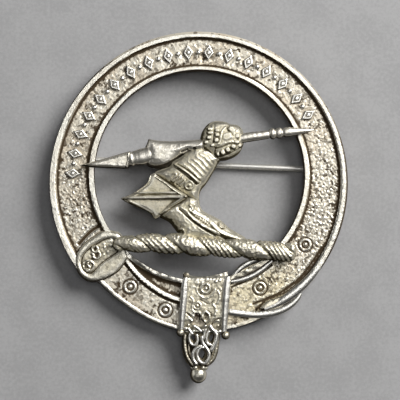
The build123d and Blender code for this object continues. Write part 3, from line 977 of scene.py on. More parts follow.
@dataclass
class Belt:
    """The belt: a stippled field between two raised rims, with eyelets and the folds of its ends.

    Angles are clock angles in degrees about the ring's centre; reaches and widths are in pixels.
    A course is a row of pairs of angle and value. A swelling is a strength, a middle angle and a spread.
    """

    around: int = 1150
    across: int = 62
    crowding: float = 0.018
    opening: tuple[float, float, float] = (199.75, 175.1, 105.35)  # pixel of its centre, radius
    edge: float = RING_R / PIXEL
    outer_course: Points = ((0, edge), (168, edge), (176, 148.8), (186, 148.8), (192, 148.2), (199, 146.2),
                            (209.5, 143.2), (224, 141.3), (228, 143.5), (230, edge), (360, edge))
    rim_course: Points = ((0, 4.0), (35, 4.6), (75, 5.4), (125, 6.6), (235, 7.4), (285, 6.9), (330, 5.0),
                          (360, 4.0))
    inner_rim_course: Points = ((0, 3.8), (40, 4.4), (80, 5.6), (130, 6.0), (165, 5.8), (190, 5.6),
                                (225, 5.6), (240, 6.4), (285, 6.6), (330, 4.8), (360, 3.8))
    rim_height: float = RIM_Z - FIELD_Z
    fuller_edge: Swellings = ((0.4, 0, 45),)
    least_slope: float = 0.9
    broad_slope: Swellings = ((2.2, 95, 48),)
    flat_rim: Swellings = ((1, 0, 55), (1, 285, 55))
    # a low ledge jutting out under the top's outer wall, painted dark by its low height: a painted shadow
    # line
    shadow_ledge: Swellings = ((1, 0, 52),)
    stipple: float = 0.06
    stipple_size: float = 0.42
    rough_parts: Swellings = ((1, 100, 28), (1, 262, 16), (0.4, 130, 30))
    coarse_part: Swellings = ((1, 0, 14),)
    eyelets: Points = ((120.4, 122.5), (150.2, 121.0), (195.0, 131.5), (213.6, 124.6))
    lozenges: tuple[float, float, int] = (-86.0, 9.0, 17)  # first angle, pitch and count
    fold: tuple[float, float] = (157, 228.5)  # between these angles the outer rim gives way to the fold
    fold_step: float = 6.6

    @staticmethod
    def follow(degrees: Array, course: Points) -> Array:
        """Reads the value of a course at each angle."""
        angles, values = zip(*course)
        return np.interp(degrees, angles, values)

    @staticmethod
    def swell(degrees: Array, middle: float, spread: float) -> Array:
        """Gives 1 at one angle, falling away on both sides."""
        gap = (degrees - middle + 180) % 360 - 180
        return np.exp(-(gap / spread) ** 2)

    @classmethod
    def swellings(cls, degrees: Array, parts: Swellings) -> Array:
        """Adds up several swellings at each angle."""
        return sum(strength * cls.swell(degrees, middle, spread) for strength, middle, spread in parts)

    @staticmethod
    def stretch(degrees: Array, start: float, full: float, last: float, end: float) -> Array:
        """Rises from 0 to 1 between the first two angles, and falls back between the last two."""
        return ramp(degrees, start, full) * (1 - ramp(degrees, last, end))

    def inner_edge(self, turn: Array) -> Array:
        """Gives the reach of the opening's edge.

        Args:
            turn: Angles in radians.

        Returns:
            One reach for each.
        """
        dx, dy = self.opening[0] - RING_PIXEL[0], RING_PIXEL[1] - self.opening[1]
        middle = dx * np.sin(turn) + dy * np.cos(turn)
        sway = dx * np.cos(turn) - dy * np.sin(turn)
        return middle + np.sqrt(self.opening[2] ** 2 - sway ** 2)

    def outer_edge(self, degrees: Array) -> Array:
        """Gives the reach of the belt's outer edge, a little fuller at the top."""
        return self.follow(degrees, self.outer_course) + self.swellings(degrees, self.fuller_edge)

    def slope(self, degrees: Array) -> Array:
        """Gives the width of the drafted outer side, broadest at the right."""
        return self.least_slope + self.swellings(degrees, self.broad_slope)

    def rim_width(self, degrees: Array) -> Array:
        """Gives the outer rim's width: narrow at the top, broad at the sides."""
        return self.follow(degrees, self.rim_course)

    def inner_rim_width(self, degrees: Array) -> Array:
        """Gives the inner rim's width."""
        return self.follow(degrees, self.inner_rim_course)

    @staticmethod
    def lines() -> list[Stroke]:
        """Draws the rims and grooves of the belt's two ends.

        Returns:
            The strokes.
        """
        lip = sweep((224, 105.5), (219, 107.6), (212.4, 110.6), (204.6, 113.5), (196.5, 116.6), (189, 118.2))
        lip_foot = sweep((222, 110.6), (218, 111.6), (211, 115.0), (204, 118), (196, 121.0), (190, 122.4))
        fold_edge = sweep((226, 138.6), (217, 139.4), (209.5, 140.6), (199, 143.4), (189, 146))
        rim_foot = sweep((118, 138.2), (132, 137.8), (141, 136.4), (148, 134.4), (156, 132.0))
        overlap = sweep((143, 146.8), (148, 144.6), (152.5, 142.2), (156, 138.4))
        strap_side = sweep((139, 109.4), (150, 109.2), (163, 108.8))
        beside_buckle = sweep((229, 112), (231.5, 125), (232.5, 138))
        above_buckle = sweep((246.6, 108), (245.5, 120), (243, 134))
        return [
            flat_line(lip, 5.6, 0.5), groove(lip_foot, 2.4, 0.14), Stroke(fold_edge, 4.2, 0.12),
            groove(rim_foot, 3.4, 0.18), groove(overlap, 2.4, 0.42), groove(strap_side, 2.6, 0.25),
            groove(beside_buckle, 3.4, 0.3), groove(above_buckle, 5.0, 0.3),
        ]

    def moats(self) -> list[Stroke]:
        """Draws the sunk ground about each lozenge."""
        return [dot(*self.ornament_place(angle), 19.0, -0.2, Profile.BELL) for angle in self.lozenge_angles()]

    def eyelet_rings(self) -> list[Stroke]:
        """Draws each eyelet: a raised ring about a pip, in a moat.

        Returns:
            The strokes.
        """
        strokes = []
        for x, y in sweep(*self.eyelets):
            strokes += [
                ring_stroke(x, y, 5.2, 2.6, 0.10), dot(x, y, 4.4, 0.15), moat(x, y, 7.4, 2.4, 0.11),
                ring_stroke(x, y, 3.2, 1.6, -0.1),
            ]
        return strokes

    def lozenge_angles(self) -> list[float]:
        """Lists the angles of the lozenges."""
        first, pitch, count = self.lozenges
        return [first + pitch * i for i in range(count)]

    def ornament_place(self, angle: float) -> tuple[float, float]:
        """Gives the pixel in the middle of the field at an angle.

        Args:
            angle: The angle.

        Returns:
            The pixel.
        """
        whole = np.array([angle % 360])
        low = self.inner_edge(np.array([math.radians(angle)])) + self.inner_rim_width(whole)
        high = self.edge - (self.slope(angle) + self.rim_width(whole))
        return clock(angle, float((low + high)[0]) / 2)

    def stippling(self, spots: Array, degrees: Array) -> Array:
        """Gives the field's stipple, which is strongest at the right, the left and the top.

        Args:
            spots: Points in millimetres.
            degrees: Their angles.

        Returns:
            The lift of each in millimetres.
        """
        least_rough, least_coarse, coarse_share = 0.55, 0.35, 0.6
        rough = grain(spots, self.stipple_size, 3.1) * 0.6 + grain(spots, self.stipple_size * 0.5, 7.7) * 0.5
        rough *= least_rough + 0.75 * self.swellings(degrees, self.rough_parts)
        coarse = grain(spots, self.stipple_size * 1.9, 12.4)
        coarse = coarse * (self.swellings(degrees, self.coarse_part) + least_coarse)
        return self.stipple * (rough + coarse_share * coarse)

    def sunk_beds(self, degrees: Array, reach: Array) -> Array:
        """Gives the sunk strip inside the fold, and the strap's lower part where it goes under.

        Args:
            degrees: Angles of the points.
            reach: Their reach.

        Returns:
            How far each is sunk, as a value below zero.
        """
        strip_depth, strip_angles = 0.11, (186, 188, 220, 223)
        under_depth, under_angles = 0.08, (150, 153, 170, 174)
        far = 105.0 + (225 - degrees) * 0.36
        strip = -strip_depth * ramp(reach, 100.5, 103.0) * (1 - ramp(reach, far - 1.0, far + 1.5))
        under = -under_depth * ramp(reach - (129 + (168 - degrees) * 0.95), 0, 3)
        return np.minimum(strip * self.stretch(degrees, *strip_angles),
                          under * self.stretch(degrees, *under_angles))

    def level(self, spots: Array, degrees: Array, reach: Array, edge: Array) -> Array:
        """Works out the face's level.

        Args:
            spots: Points in millimetres.
            degrees: Their angles.
            reach: Their reach.
            edge: Reach of the outer edge at each.

        Returns:
            Their levels in millimetres.
        """
        stepped, pinched, lumpy = (138, 153, 226, 228), (143, 153, 227, 229), (138, 144, 222, 228)
        most_pinched, lump_height, lump_size, lump_seed = 0.7, 0.12, 0.8, 21.0
        calm_rim, calm_relief = 0.3, 0.5
        inner_share = (reach - self.inner_edge(np.radians(degrees))) / self.inner_rim_width(degrees)
        step = self.fold_step * self.stretch(degrees, *stepped)
        pinch = most_pinched * ramp(degrees, 149, 157) * self.stretch(degrees, *pinched)
        share = (edge - step - reach) / (self.rim_width(degrees) * (1 - pinch))
        outer = self.outer_section(share, degrees) * self.rim_height
        outer *= np.where((degrees > self.fold[0]) & (degrees < self.fold[1]), 0, 1)
        lumps = 1 + lump_height * grain(spots, lump_size, lump_seed) * self.stretch(degrees, *lumpy)
        rim = self.flat_top(inner_share) * self.rim_height * lumps
        lifted = relief(spots, self.lines() + self.moats() + self.eyelet_rings())
        on_rim = np.maximum(self.crown(share), self.crown(inner_share)) > 0.02
        calm = np.where(on_rim, calm_rim, 1) * np.where(np.abs(lifted) > 0.05, calm_relief, 1)
        raised = np.maximum(np.maximum(outer, rim), np.maximum(lifted, 0))
        sunk = np.minimum(self.sunk_beds(degrees, reach), np.minimum(lifted, 0))
        return FIELD_Z + self.stippling(spots, degrees) * calm + raised + sunk

    @staticmethod
    def crown(share: Array) -> Array:
        """Gives a round rim's section: high at its edge, and down to the field at 1."""
        return np.clip(1 - ((np.clip(share, 0, 1) - 0.24) / 0.76) ** 2, 0, 1) ** 0.24 * (share > -0.01)

    @staticmethod
    def flat_top(share: Array) -> Array:
        """Gives a flat rim's section, which drops to the field over its last part."""
        return (1 - ramp(share, 0.72, 1.0)) * (share > -0.01)

    def outer_section(self, share: Array, degrees: Array) -> Array:
        """Gives the outer rim's section: flat at the top and the left, round on the right."""
        flat = np.clip(self.swellings(degrees, self.flat_rim), 0, 1)
        return self.crown(share) * (1 - flat) + self.flat_top(share) * flat

    def form(self) -> Form:
        """Makes the whole band as one closed ring.

        Returns:
            The form.
        """
        degrees = np.linspace(0, 360, self.around, endpoint=False)
        turn = np.radians(degrees)
        inner, outer, slope = self.inner_edge(turn), self.outer_edge(degrees), self.slope(degrees)
        share = np.linspace(0, 1, self.across)
        share = share + self.crowding * np.sin(math.tau * share)
        reach = inner[:, None] + (outer - inner - slope)[:, None] * share[None, :]
        angles = np.repeat(turn[:, None], self.across, axis=1)
        spots = np.column_stack([(reach * np.sin(angles)).ravel(), (reach * np.cos(angles)).ravel()]) * PIXEL
        edge = np.repeat((outer - slope)[:, None], self.across, axis=1)
        level = self.level(spots, np.degrees(angles).ravel(), reach.ravel(), edge.ravel())
        size = (self.around, self.across)
        ring = [np.dstack([spots.reshape(*size, 2), level.reshape(size)])]
        # At the top a low ledge juts out under the outer wall; lying under the field finish's foot heights,
        # it is painted dark as a shadow line.
        ledge, foot = self.swellings(degrees, self.shadow_ledge), BACK_Z - FIELD_Z
        outer_wall = ((0.5, 0.3, -0.4), (0.05, 3.0, -0.75), (0.0, 3.4, foot))  # slope's share, ledge, height
        inner_wall = ((0.3, foot), (0.2, -0.7))  # step back, height
        for part, out, height in outer_wall:
            ring.append(self.skirt(turn, outer - slope * part + out * ledge, height))
        for back, height in inner_wall:
            ring.append(self.skirt(turn, inner - back, height))
        return grid(np.concatenate(ring, axis=1), closed=True)

    @staticmethod
    def skirt(turn: Array, reach: Array, height: float) -> Array:
        """Gives one line of the band's walls or back, at a height above the field."""
        x, y = reach * np.sin(turn) * PIXEL, reach * np.cos(turn) * PIXEL
        return np.stack([x, y, np.full(len(turn), FIELD_Z + height)], axis=1)[:, None, :]

    def make(self, bench: Bench) -> None:
        """Makes the band, the turned edge, the crossed straps' bright edges and the ornament.

        Args:
            bench: Where they are dressed.
        """
        lozenges, pellets = self.ornament()
        bench.dress(self.form().build("belt_band"), Finish.FIELD, ["belt_ring"])
        bench.dress(self.turned_edge().build("belt_turned_edge"), Finish.FIELD)
        for name, form in (("strands", self.strands()), ("lozenges", lozenges), ("pellets", pellets)):
            bench.dress(form.build("belt_" + name), Finish.POLISHED)

    @staticmethod
    def strands() -> Form:
        """Makes the bright edges of the two straps where they cross at the lower right.

        Returns:
            The form.
        """
        flat = 0.5
        strands = (
            (0.38, ((322, 262, 3.0), (314, 272.5, 7.0), (304, 283.5, 8.8), (294, 292.2, 9.2),
                    (284, 299.2, 8.2), (275, 304.6, 6.0), (264, 309.0, 2.6))),
            (0.26, ((300.5, 293.5, 3.0), (295, 300.9, 5.4), (286, 307.6, 6.6), (276, 311.8, 7.0),
                    (264, 314.0, 7.0), (252, 314.2, 6.8), (240, 313.0, 6.8), (229, 311.4, 6.8))),
            (0.24, ((232.5, 277, 3.0), (238, 270.5, 4.8), (246, 264.4, 6.0), (256, 260.0, 5.6),
                    (266, 258.2, 4.0))),
            (0.24, ((231, 281.6, 3.8), (240, 280, 4.6), (250, 276.6, 5.0), (260, 270.8, 5.0),
                    (268, 264.4, 4.2), (272, 261, 3.0))),
        )
        return join([bar(route, FIELD_Z + rise, flat) for rise, route in strands])

    @staticmethod
    def turned_level(spots: Array, away: Array) -> Array:
        """Gives the level of the turned edge, which rounds down to its border."""
        return FIELD_Z - 0.25 + 0.35 * ramp(away, 0, 0.45) + 0.02 * grain(spots, 0.5, 4.4)

    def turned_edge(self) -> Form:
        """Makes the turned edge of the right strap, which shows inside the opening.

        Returns:
            The form.
        """
        outline = ((232.5, 276.5), (232.5, 276.5), (236, 270), (243, 263.5), (252, 259), (262, 257.5),
                   (270, 258.5), (270, 258.5), (262, 267), (250, 274))
        return Plate(outline, BACK_Z + 0.3, self.turned_level).form()

    def ornament(self) -> tuple[Form, Form]:
        """Makes the row of lozenges and pellets along the upper half of the field.

        Returns:
            The lozenges and the pellets.
        """
        angles = self.lozenge_angles()
        lozenges = [self.lozenge(place([self.ornament_place(a)])[0], math.radians(a)) for a in angles]
        middles = [(a + b) / 2 for a, b in zip(angles, angles[1:])]
        pellets = [ball(*self.ornament_place(a), FIELD_Z + 0.05, 0.42, 0.72, 20) for a in middles]
        return join(lozenges), join(pellets)

    @staticmethod
    def lozenge(spot: Array, turn: float, half: float = 1.32, slim: float = 0.64, rise: float = 0.46) -> Form:
        """Makes one lozenge with a raised border and a small boss.

        Args:
            spot: Its middle in millimetres.
            turn: Its clock angle in radians.
            half: Half its length.
            slim: Its width as a share of its length.
            rise: How far it stands above the field.

        Returns:
            The form.
        """
        count, boss_from, boss_size = 24, 0.5, 0.62
        tips = ((0, 1), (-slim, 0), (0, -1), (slim, 0))
        section = ((1.0, -0.3), (0.98, 0.6 * rise), (0.92, 0.92 * rise), (0.82, rise), (0.62, 0.96 * rise),
                   (0.54, 0.5 * rise), (0.42, 0.5 * rise), (0.34, 0.9 * rise), (0.15, rise))
        rows = []
        for share, height in section:
            for k in range(count):
                side = k * len(tips) // count
                part = k / count * len(tips) - side
                a, b = tips[side], tips[(side + 1) % len(tips)]
                x, y = (a[0] + (b[0] - a[0]) * part, a[1] + (b[1] - a[1]) * part)
                size = math.hypot(x, y) / boss_size if share < boss_from else 1.0
                x, y = x / size * share * half, y / size * share * half
                rows.append((spot[0] + x * math.cos(turn) + y * math.sin(turn),
                             spot[1] - x * math.sin(turn) + y * math.cos(turn), FIELD_Z + height))
        return grid(np.array(rows).reshape(len(section), count, 3))


@dataclass
class Buckle:
    """The buckle: a domed C frame about a sunk bed with two scrolls."""

    outline: Points = ((120.0, 234.8), (113.3, 232.5), (106.4, 231.5), (101.2, 232.6), (95.4, 236.3),
                       (87.8, 241.8), (82.3, 246.7), (78.9, 251.5), (76.8, 257), (76.8, 263.9), (78.9, 270.8),
                       (83, 276.3), (87.8, 279.7), (92.7, 281.1), (99.6, 280.4), (106.4, 278.4),
                       (113.3, 274.9), (118.8, 270.8), (122.6, 266.0), (126.4, 261.2), (128, 257),
                       (126.4, 250), (124.6, 242))
    bed: Points = ((115.8, 240.0), (110, 238.8), (104.2, 240.2), (98.2, 243.4), (92.4, 246.9), (87.5, 250.9),
                   (84.2, 255.2), (82.4, 259.8), (82.3, 265.4), (84.2, 270.0), (87.8, 273.2), (91.8, 273.9),
                   (95.2, 271.8), (98.2, 268.2), (102.0, 264.2), (107.2, 260.2), (113.2, 256.4),
                   (118.6, 252.0), (119.0, 245.0))
    height: float = 0.93
    bed_depth: float = 0.22
    hollow: float = 0.12

    def level(self, spots: Array, away: Array) -> Array:
        """Gives the level of the frame's face and of its bed.

        Args:
            spots: Points in millimetres.
            away: Their distance from the outline.

        Returns:
            Their levels.
        """
        rim = smooth_line(place(self.bed), NET, closed=True)
        within, gap = inside(spots, rim), nearest(spots, rim)
        crown = self.height - 0.3 * (1 - ramp(away, 0.0, 0.16)) - 0.08 * (1 - ramp(gap, 0.0, 0.14))
        swell = np.sin(math.pi * away / np.maximum(away + gap, 1e-6))
        crown = crown - self.hollow + self.hollow * swell + 0.02 * grain(spots, 0.9, 3.3)
        bed = self.height - self.bed_depth + 0.03 * grain(spots, 0.5, 9.0) + 0.01 * grain(spots, 0.2, 5.0)
        bed = bed - 0.1 * (1 - ramp(gap, 0.05, 0.3)) + relief(spots, self.scrolls())
        return FIELD_Z + np.where(within, bed, crown)

    @staticmethod
    def scrolls() -> list[Stroke]:
        """Draws the two scrolls, their stems and the pips beside them.

        Returns:
            The strokes.
        """
        return [
            ring_stroke(89.6, 265.8, 5.4, 2.0, 0.15), moat(89.6, 265.8, 3.5, 1.4, 0.1),
            Stroke(((92.6, 262.6), (90.2, 262.0), (88.2, 263.6), (89.4, 265.8), (90.8, 267.6), (89.4, 269.6),
                    (87.2, 269.0)), 2.0, 0.18),
            ring_stroke(96.0, 249.4, 2.9, 2.5, 0.24),
            Stroke(((98.6, 250.6), (100.8, 254.0), (100.4, 257.2), (97.4, 258.8), (94.4, 257.6)), 2.8, 0.22),
            Stroke(((92.6, 253.6), (94.8, 255.8)), 2.6, 0.16), dot(104.6, 244.6, 3.0, 0.08),
            groove(((103.0, 240.8), (108.5, 238.6), (112.8, 240.0), (113.9, 243.6), (112.6, 247.6)), 1.9,
                   0.14),
            dot(105.4, 248, 3.4, 0.08), dot(111, 245.4, 3.4, 0.08), dot(108.6, 252.6, 3.6, 0.08),
            dot(104.4, 255, 3.0, 0.06),
        ]

    def make(self, bench: Bench) -> None:
        """Makes and dresses the buckle."""
        form = Plate(self.outline, FIELD_Z - 0.3, self.level, spacing=0.1, draft=0.2).form()
        bench.dress(form.build("buckle_frame"), Finish.FITTING, ["buckle"])


@dataclass
class Keeper:
    """The keeper: a band with scroll relief, two side bars with balls, and a lip over the inner edge."""

    outline: Points = ((183.6, 272.8), (183.6, 272.8), (190, 275.4), (202.6, 276.6), (214.8, 275.2),
                       (227.6, 271.6), (227.6, 271.6), (226.2, 292), (224, 312), (223, 331.6), (223, 331.6),
                       (202, 331.2), (181, 331.6), (181, 331.6), (181.6, 312), (182.8, 292))
    rise: float = 0.78

    @staticmethod
    def scrolls() -> list[Stroke]:
        """Draws the ringed scrolls, the leaves and the pierced heart.

        Returns:
            The strokes.
        """
        return [
            ring_stroke(205.2, 288.3, 4.3, 2.4, 0.15), dot(205.4, 288.5, 3.0, 0.13),
            moat(205.2, 288.3, 6.7, 2.2, 0.05),
            Stroke(((197.4, 283.4), (196.4, 289.4), (199.4, 295.2), (205.4, 298.0), (211.6, 295.4),
                    (214.6, 289.6)), 2.4, 0.13, ends=(0.6, 0.8)),
            ring_stroke(197.2, 305.5, 3.5, 1.9, 0.13), dot(197.2, 305.5, 2.8, 0.13),
            Stroke(((190, 296.6), (193.4, 300.2), (191.8, 307), (194, 312)), 2.1, 0.1),
            Stroke(((205.2, 310.6), (208.8, 314), (208.9, 319.2), (205.6, 321.8), (202.6, 318.6),
                    (202.6, 313.6), (205.2, 310.6)), 2.7, 0.24),
            groove(((200.6, 299.4), (205, 302.6), (210, 303.4), (213.4, 300)), 2.4, 0.08),
            Stroke(((212.6, 304), (215.4, 308.6), (214.6, 315)), 2.4, 0.12),
            Stroke(((217.6, 291), (219.4, 297), (217.4, 303)), 2.3, 0.1),
            groove(((187, 312.6), (190, 315.6), (192.4, 319)), 2.8, 0.16),
            groove(((211.4, 324.4), (214.4, 319.6), (218.6, 318.4)), 2.8, 0.16),
            flat_line(((197.4, 315.2), (196.4, 319.6), (198.8, 323.4), (200.6, 321.6)), 6.4, -0.75),
            flat_line(((194.0, 322.2), (198, 324.0), (203, 323.2)), 4.6, -0.75), dot(215.4, 281.6, 3.2, 0.12),
            dot(219.6, 280.4, 2.8, 0.1), dot(188.4, 325.4, 3.2, 0.16), dot(217.6, 325.6, 3.0, 0.16),
            dot(210.6, 328, 2.4, 0.2),
        ]

    @staticmethod
    def drop(spots: Array, start: float, end: float) -> Array:
        """Rises from 0 to 1 between two pixel rows."""
        return ramp(spots[:, 1], place([(0, start)])[0, 1], place([(0, end)])[0, 1])

    def level(self, spots: Array, away: Array) -> Array:
        """Gives the level of the band's face, which falls away at its top and bottom.

        Args:
            spots: Points in millimetres.
            away: Their distance from the outline; not used.

        Returns:
            Their levels.
        """
        rough = 0.03 * grain(spots, 0.42, 5.5) + 0.015 * grain(spots, 0.22, 8.2)
        fall, tuck = self.drop(spots, 279.5, 274.6), self.drop(spots, 317.0, 331.6)
        ground = FIELD_Z + self.rise - 0.12
        return ground + rough + relief(spots, self.scrolls()) - 0.5 * fall - 0.6 * tuck

    def bars(self) -> Form:
        """Makes the two broad side bars.

        Returns:
            The form.
        """
        left = ((186.2, 277.4, 4.0), (184.9, 283, 6.0), (184.1, 294.7, 7.2), (183.0, 307.4, 7.0),
                (182.2, 318, 6.0), (181.4, 329, 4.6))
        right = ((227.9, 276.4, 4.6), (226.8, 283, 6.8), (225.9, 294, 7.8), (224.9, 307.4, 7.2),
                 (224.2, 320, 6.2), (223.6, 331, 4.8))
        return join([bar(route, FIELD_Z + self.rise + 0.02, 0.55) for route in (left, right)])

    def balls(self) -> Form:
        """Makes the balls at the ends of the bars.

        Returns:
            The form.
        """
        top = FIELD_Z + self.rise
        return join([ball(180.6, 332.0, top - 0.1, 0.64), ball(225.1, 334.8, top - 0.1, 0.66),
                     ball(186.4, 275.6, top - 0.25, 0.52, 0.7)])

    def make(self, bench: Bench) -> None:
        """Makes and dresses the band, its bars and their balls.

        Args:
            bench: Where they are dressed.
        """
        band = Plate(self.outline, FIELD_Z - 1.2, self.level, spacing=0.1, draft=0.02).form()
        bench.dress(band.build("keeper_band"), Finish.FITTING, ["keeper"])
        bench.dress(self.bars().build("keeper_bars"), Finish.POLISHED)
        bench.dress(self.balls().build("keeper_balls"), Finish.CHAPE)


@dataclass
class BeltTip:
    """The pierced chape, its bright wires, collar and ball."""

    outline: Points = ((183.4, 331.8), (183.4, 331.8), (182.2, 342), (183.0, 352), (185.8, 360.2),
                       (190.4, 365.8), (190.4, 365.8), (198.6, 368.2), (207.4, 365.8), (207.4, 365.8),
                       (213.6, 361), (217.4, 353), (218.8, 344), (220.0, 334), (220.0, 334), (210, 332.6),
                       (202, 333.0), (192, 331.6))
    holes: Sequence[Points] = (
        ((193.0, 333.4), (195.6, 337), (193.8, 340.4), (190.9, 337.2)),
        ((213.4, 334.0), (213.2, 337.8), (210.8, 341.6), (208.9, 338.6), (210.4, 334.6)),
        ((202.0, 348.8), (205.0, 353.2), (202.0, 358.4), (198.8, 354.2)),
    )

    def level(self, spots: Array, away: Array) -> Array:
        """Gives the level of the chape's face, low behind the wires and raised at its outer leaves.

        Args:
            spots: Points in millimetres.
            away: Their distance from the outline.

        Returns:
            Their levels.
        """
        leaves = [
            Stroke(((184.6, 335), (184.8, 345), (187.4, 356), (192.4, 364)), 4.6, 0.36),
            Stroke(((217.8, 338), (216.6, 347), (213.4, 357), (207.4, 364)), 4.6, 0.36),
            Stroke(((188.8, 344), (189.2, 351), (191.6, 358)), 2.6, 0.3),
            Stroke(((213.2, 350), (211.4, 356), (208.6, 360)), 2.6, 0.3),
        ]
        return FIELD_Z + 0.15 * ramp(away, 0, 0.4) + relief(spots, leaves) + 0.03 * grain(spots, 0.3, 2.2)

    @staticmethod
    def wires() -> Form:
        """Makes the looped wires about the three holes, thickest at the right, and three small balls.

        Returns:
            The form.
        """
        top, thickening, end_share = FIELD_Z + 0.66, 1.4, 0.85
        routes = (
            (((193.6, 330.2), (190.0, 334.0), (189.2, 338.2), (191.4, 343.4), (195.6, 343.6), (197.6, 339.8),
              (196.8, 334.6)), 2.5),
            (((208.6, 331.0), (206.6, 336.4), (207.0, 342.0), (210.4, 344.2)), 2.5),
            (((214.2, 330.6), (216.4, 334.4), (215.4, 340.4), (213.4, 345.4), (211.2, 349.0)), 3.7),
            (((201.8, 336.6), (202.6, 342.2), (206.2, 347.2), (208.8, 352.4), (208.0, 358.6), (204.0, 362.0),
              (199.6, 360.2), (197.2, 355.0), (197.8, 350.4), (200.2, 347.2), (203.0, 346.6)), 2.9),
            (((200.8, 345.4), (196.0, 347.6), (193.2, 352.4), (193.4, 358.4), (196.2, 362.6)), 3.0),
            (((193.8, 325.4), (197.2, 327.4), (200.6, 330.6)), 2.5),
            (((188.4, 328.0), (190.4, 330.8), (192.2, 333.0)), 2.7),
            (((210.0, 325.6), (212.4, 329.2), (216.8, 331.4), (219.4, 330.8)), 3.6),
            (((205.4, 329.0), (204.2, 334.0), (203.4, 338.0)), 2.4),
        )
        balls = [ball(205.2, 325.6, top, 0.25), ball(202.6, 329.4, top, 0.2),
                 ball(185.8, 328.0, top - 0.05, 0.32)]
        ends = (end_share, end_share)
        return join([wire(points, top, width * thickening, ends) for points, width in routes] + balls)

    @staticmethod
    def finial() -> Form:
        """Makes the uneven ball at the end, with its collar.

        Returns:
            The form.
        """
        radius, dents, dent_size, dent_seed = 1.33, 0.045, 0.85, 5.2
        middle = corners("belt_tip")[0].z + 1.35
        end = ball(198.6, 374.0, middle, radius, turns=48)
        out = end.spots - end.spots.mean(axis=0)
        end.spots = end.spots + out * dents * grain(end.spots, dent_size, dent_seed)[:, None]
        neck = wire(((192.6, 367.4), (199, 368.6), (205.6, 367.2)), middle + 0.3, 4.6)
        beads = [ball(195.4, 366.9, middle + 0.75, 0.42), ball(203.0, 366.9, middle + 0.7, 0.38)]
        return join([end, neck, *beads])

    def make(self, bench: Bench) -> None:
        """Makes and dresses the chape, the wires and the finial.

        Args:
            bench: Where they are dressed.
        """
        plate = Plate(self.outline, BACK_Z + 0.02, self.level, self.holes, spacing=0.1, draft=0.05).form()
        bench.dress(plate.build("chape_plate"), Finish.CHAPE, ["belt_tip"])
        bench.dress(self.wires().build("chape_wires"), Finish.POLISHED)
        bench.dress(self.finial().build("chape_finial"), Finish.FITTING)


@dataclass
class Wreath:
    """The wreath: a rope of smooth and ribbed twists."""

    line: Points = ((113.5, 245.6), (124, 244.8), (140, 243.6), (160, 243.8), (194, 245.7), (216, 247.6),
                    (238, 249.3), (258, 250.2), (276, 251.8), (294.6, 252.8))
    widths: tuple[float, ...] = (13.0, 18.5, 20.8, 22.6, 22.2, 20.6, 20.8, 21.4, 21.4, 20.4)
    first: float = 115.0
    lobe: float = 29.5
    slant: float = 9.0
    ribs: float = 5.3
    wander: float = 1.6        # how unevenly the twists follow each other, in pixels
    smooth_twist: tuple[float, float, float] = (0.64, 0.34, 0.012)  # thickness at its foot, swell and ribs
    ribbed_twist: tuple[float, float, float] = (0.67, 0.20, 0.075)
    flatness: float = 0.84
    under_top: float = 1.42    # depth of its middle line below the CAD wreath's top
    end_share: float = 0.028   # share of its length over which each end rounds off
    rows: int = 460
    sides: int = 84

    def swell(self, across: Array, turn: Array) -> Array:
        """Gives the rope's thickness as a share, with its fat smooth lobes and its finely ribbed ones.

        Args:
            across: Pixel along the rope at each row.
            turn: Angle round the rope at each column.

        Returns:
            One share for each row and column.
        """
        sway = self.slant * np.sin(turn)[None, :] + self.wander * np.sin(across / 11.0)[:, None]
        phase = (across[:, None] - self.first + sway) / self.lobe
        part = phase - np.floor(phase)
        smooth = np.floor(phase).astype(int) % 2 == 0
        lobes = np.clip(1 - np.abs(2 * part - 1) ** 2.4, 0, 1)
        ribbing = math.tau * part * self.lobe / self.ribs + 1.1 * np.sin(across / 7.3)[:, None]
        ribbing = 0.5 - 0.5 * np.cos(ribbing)
        (foot, rise, ribs), (ribbed_foot, ribbed_rise, deep_ribs) = self.smooth_twist, self.ribbed_twist
        ribbed = ribbed_foot + ribbed_rise * lobes ** 0.6 + deep_ribs * ribbing * ramp(lobes, 0, 0.4)
        return np.where(smooth, foot + rise * lobes ** 0.6 + ribs * ribbing, ribbed)

    def form(self) -> Form:
        """Makes the rope with a flat back.

        Returns:
            The form.
        """
        low, high = corners("wreath")
        flat = smooth_line(place(self.line), 0.03)
        share = np.linspace(0, 1, self.rows)
        along = np.linspace(0, 1, len(flat))
        line = np.column_stack([np.interp(share, along, flat[:, k]) for k in range(2)])
        half = np.interp(share, np.linspace(0, 1, len(self.widths)), self.widths) * PIXEL / 2
        from_end = np.clip(np.minimum(share, 1 - share) / self.end_share, 0.02, 1)
        ends = np.sqrt(np.clip(1 - (1 - from_end) ** 2, 0, 1))
        turn = np.linspace(0, math.tau, self.sides, endpoint=False)
        across = RING_PIXEL[0] + line[:, 0] / PIXEL
        unrolled = np.column_stack([np.repeat(line[:, 0], self.sides), np.tile(turn, self.rows) * 1.4])
        speck = grain(unrolled, 0.35, 6.6).reshape(self.rows, self.sides)
        radius = half[:, None] * ends[:, None] * (self.swell(across, turn) + 0.03 * speck)
        run = np.gradient(line, axis=0)
        run /= np.linalg.norm(run, axis=1)[:, None]
        side = np.column_stack([-run[:, 1], run[:, 0]])
        out = radius * np.sin(turn)[None, :]
        x, y = (line[:, k:k + 1] + side[:, k:k + 1] * out for k in range(2))
        z = np.maximum(high.z - self.under_top + radius * np.cos(turn)[None, :] * self.flatness, low.z)
        return grid(np.dstack([x, y, z]))

    def make(self, bench: Bench) -> None:
        """Makes and dresses the wreath."""
        bench.dress(self.form().build("wreath_rope", 60), Finish.ROPE, ["wreath"])


@dataclass(frozen=True)
class Rough:
    """One layer of roughness on a cast face; height and size of its grain are in millimetres."""

    height: float
    size: float
    seed: float
    squeeze: float = 1.0  # below 1 the grain is drawn out along X

    def lift(self, spots: Array) -> Array:
        """Gives its lift at each point."""
        return self.height * grain(spots * np.array([self.squeeze, 1.0]), self.size, self.seed)


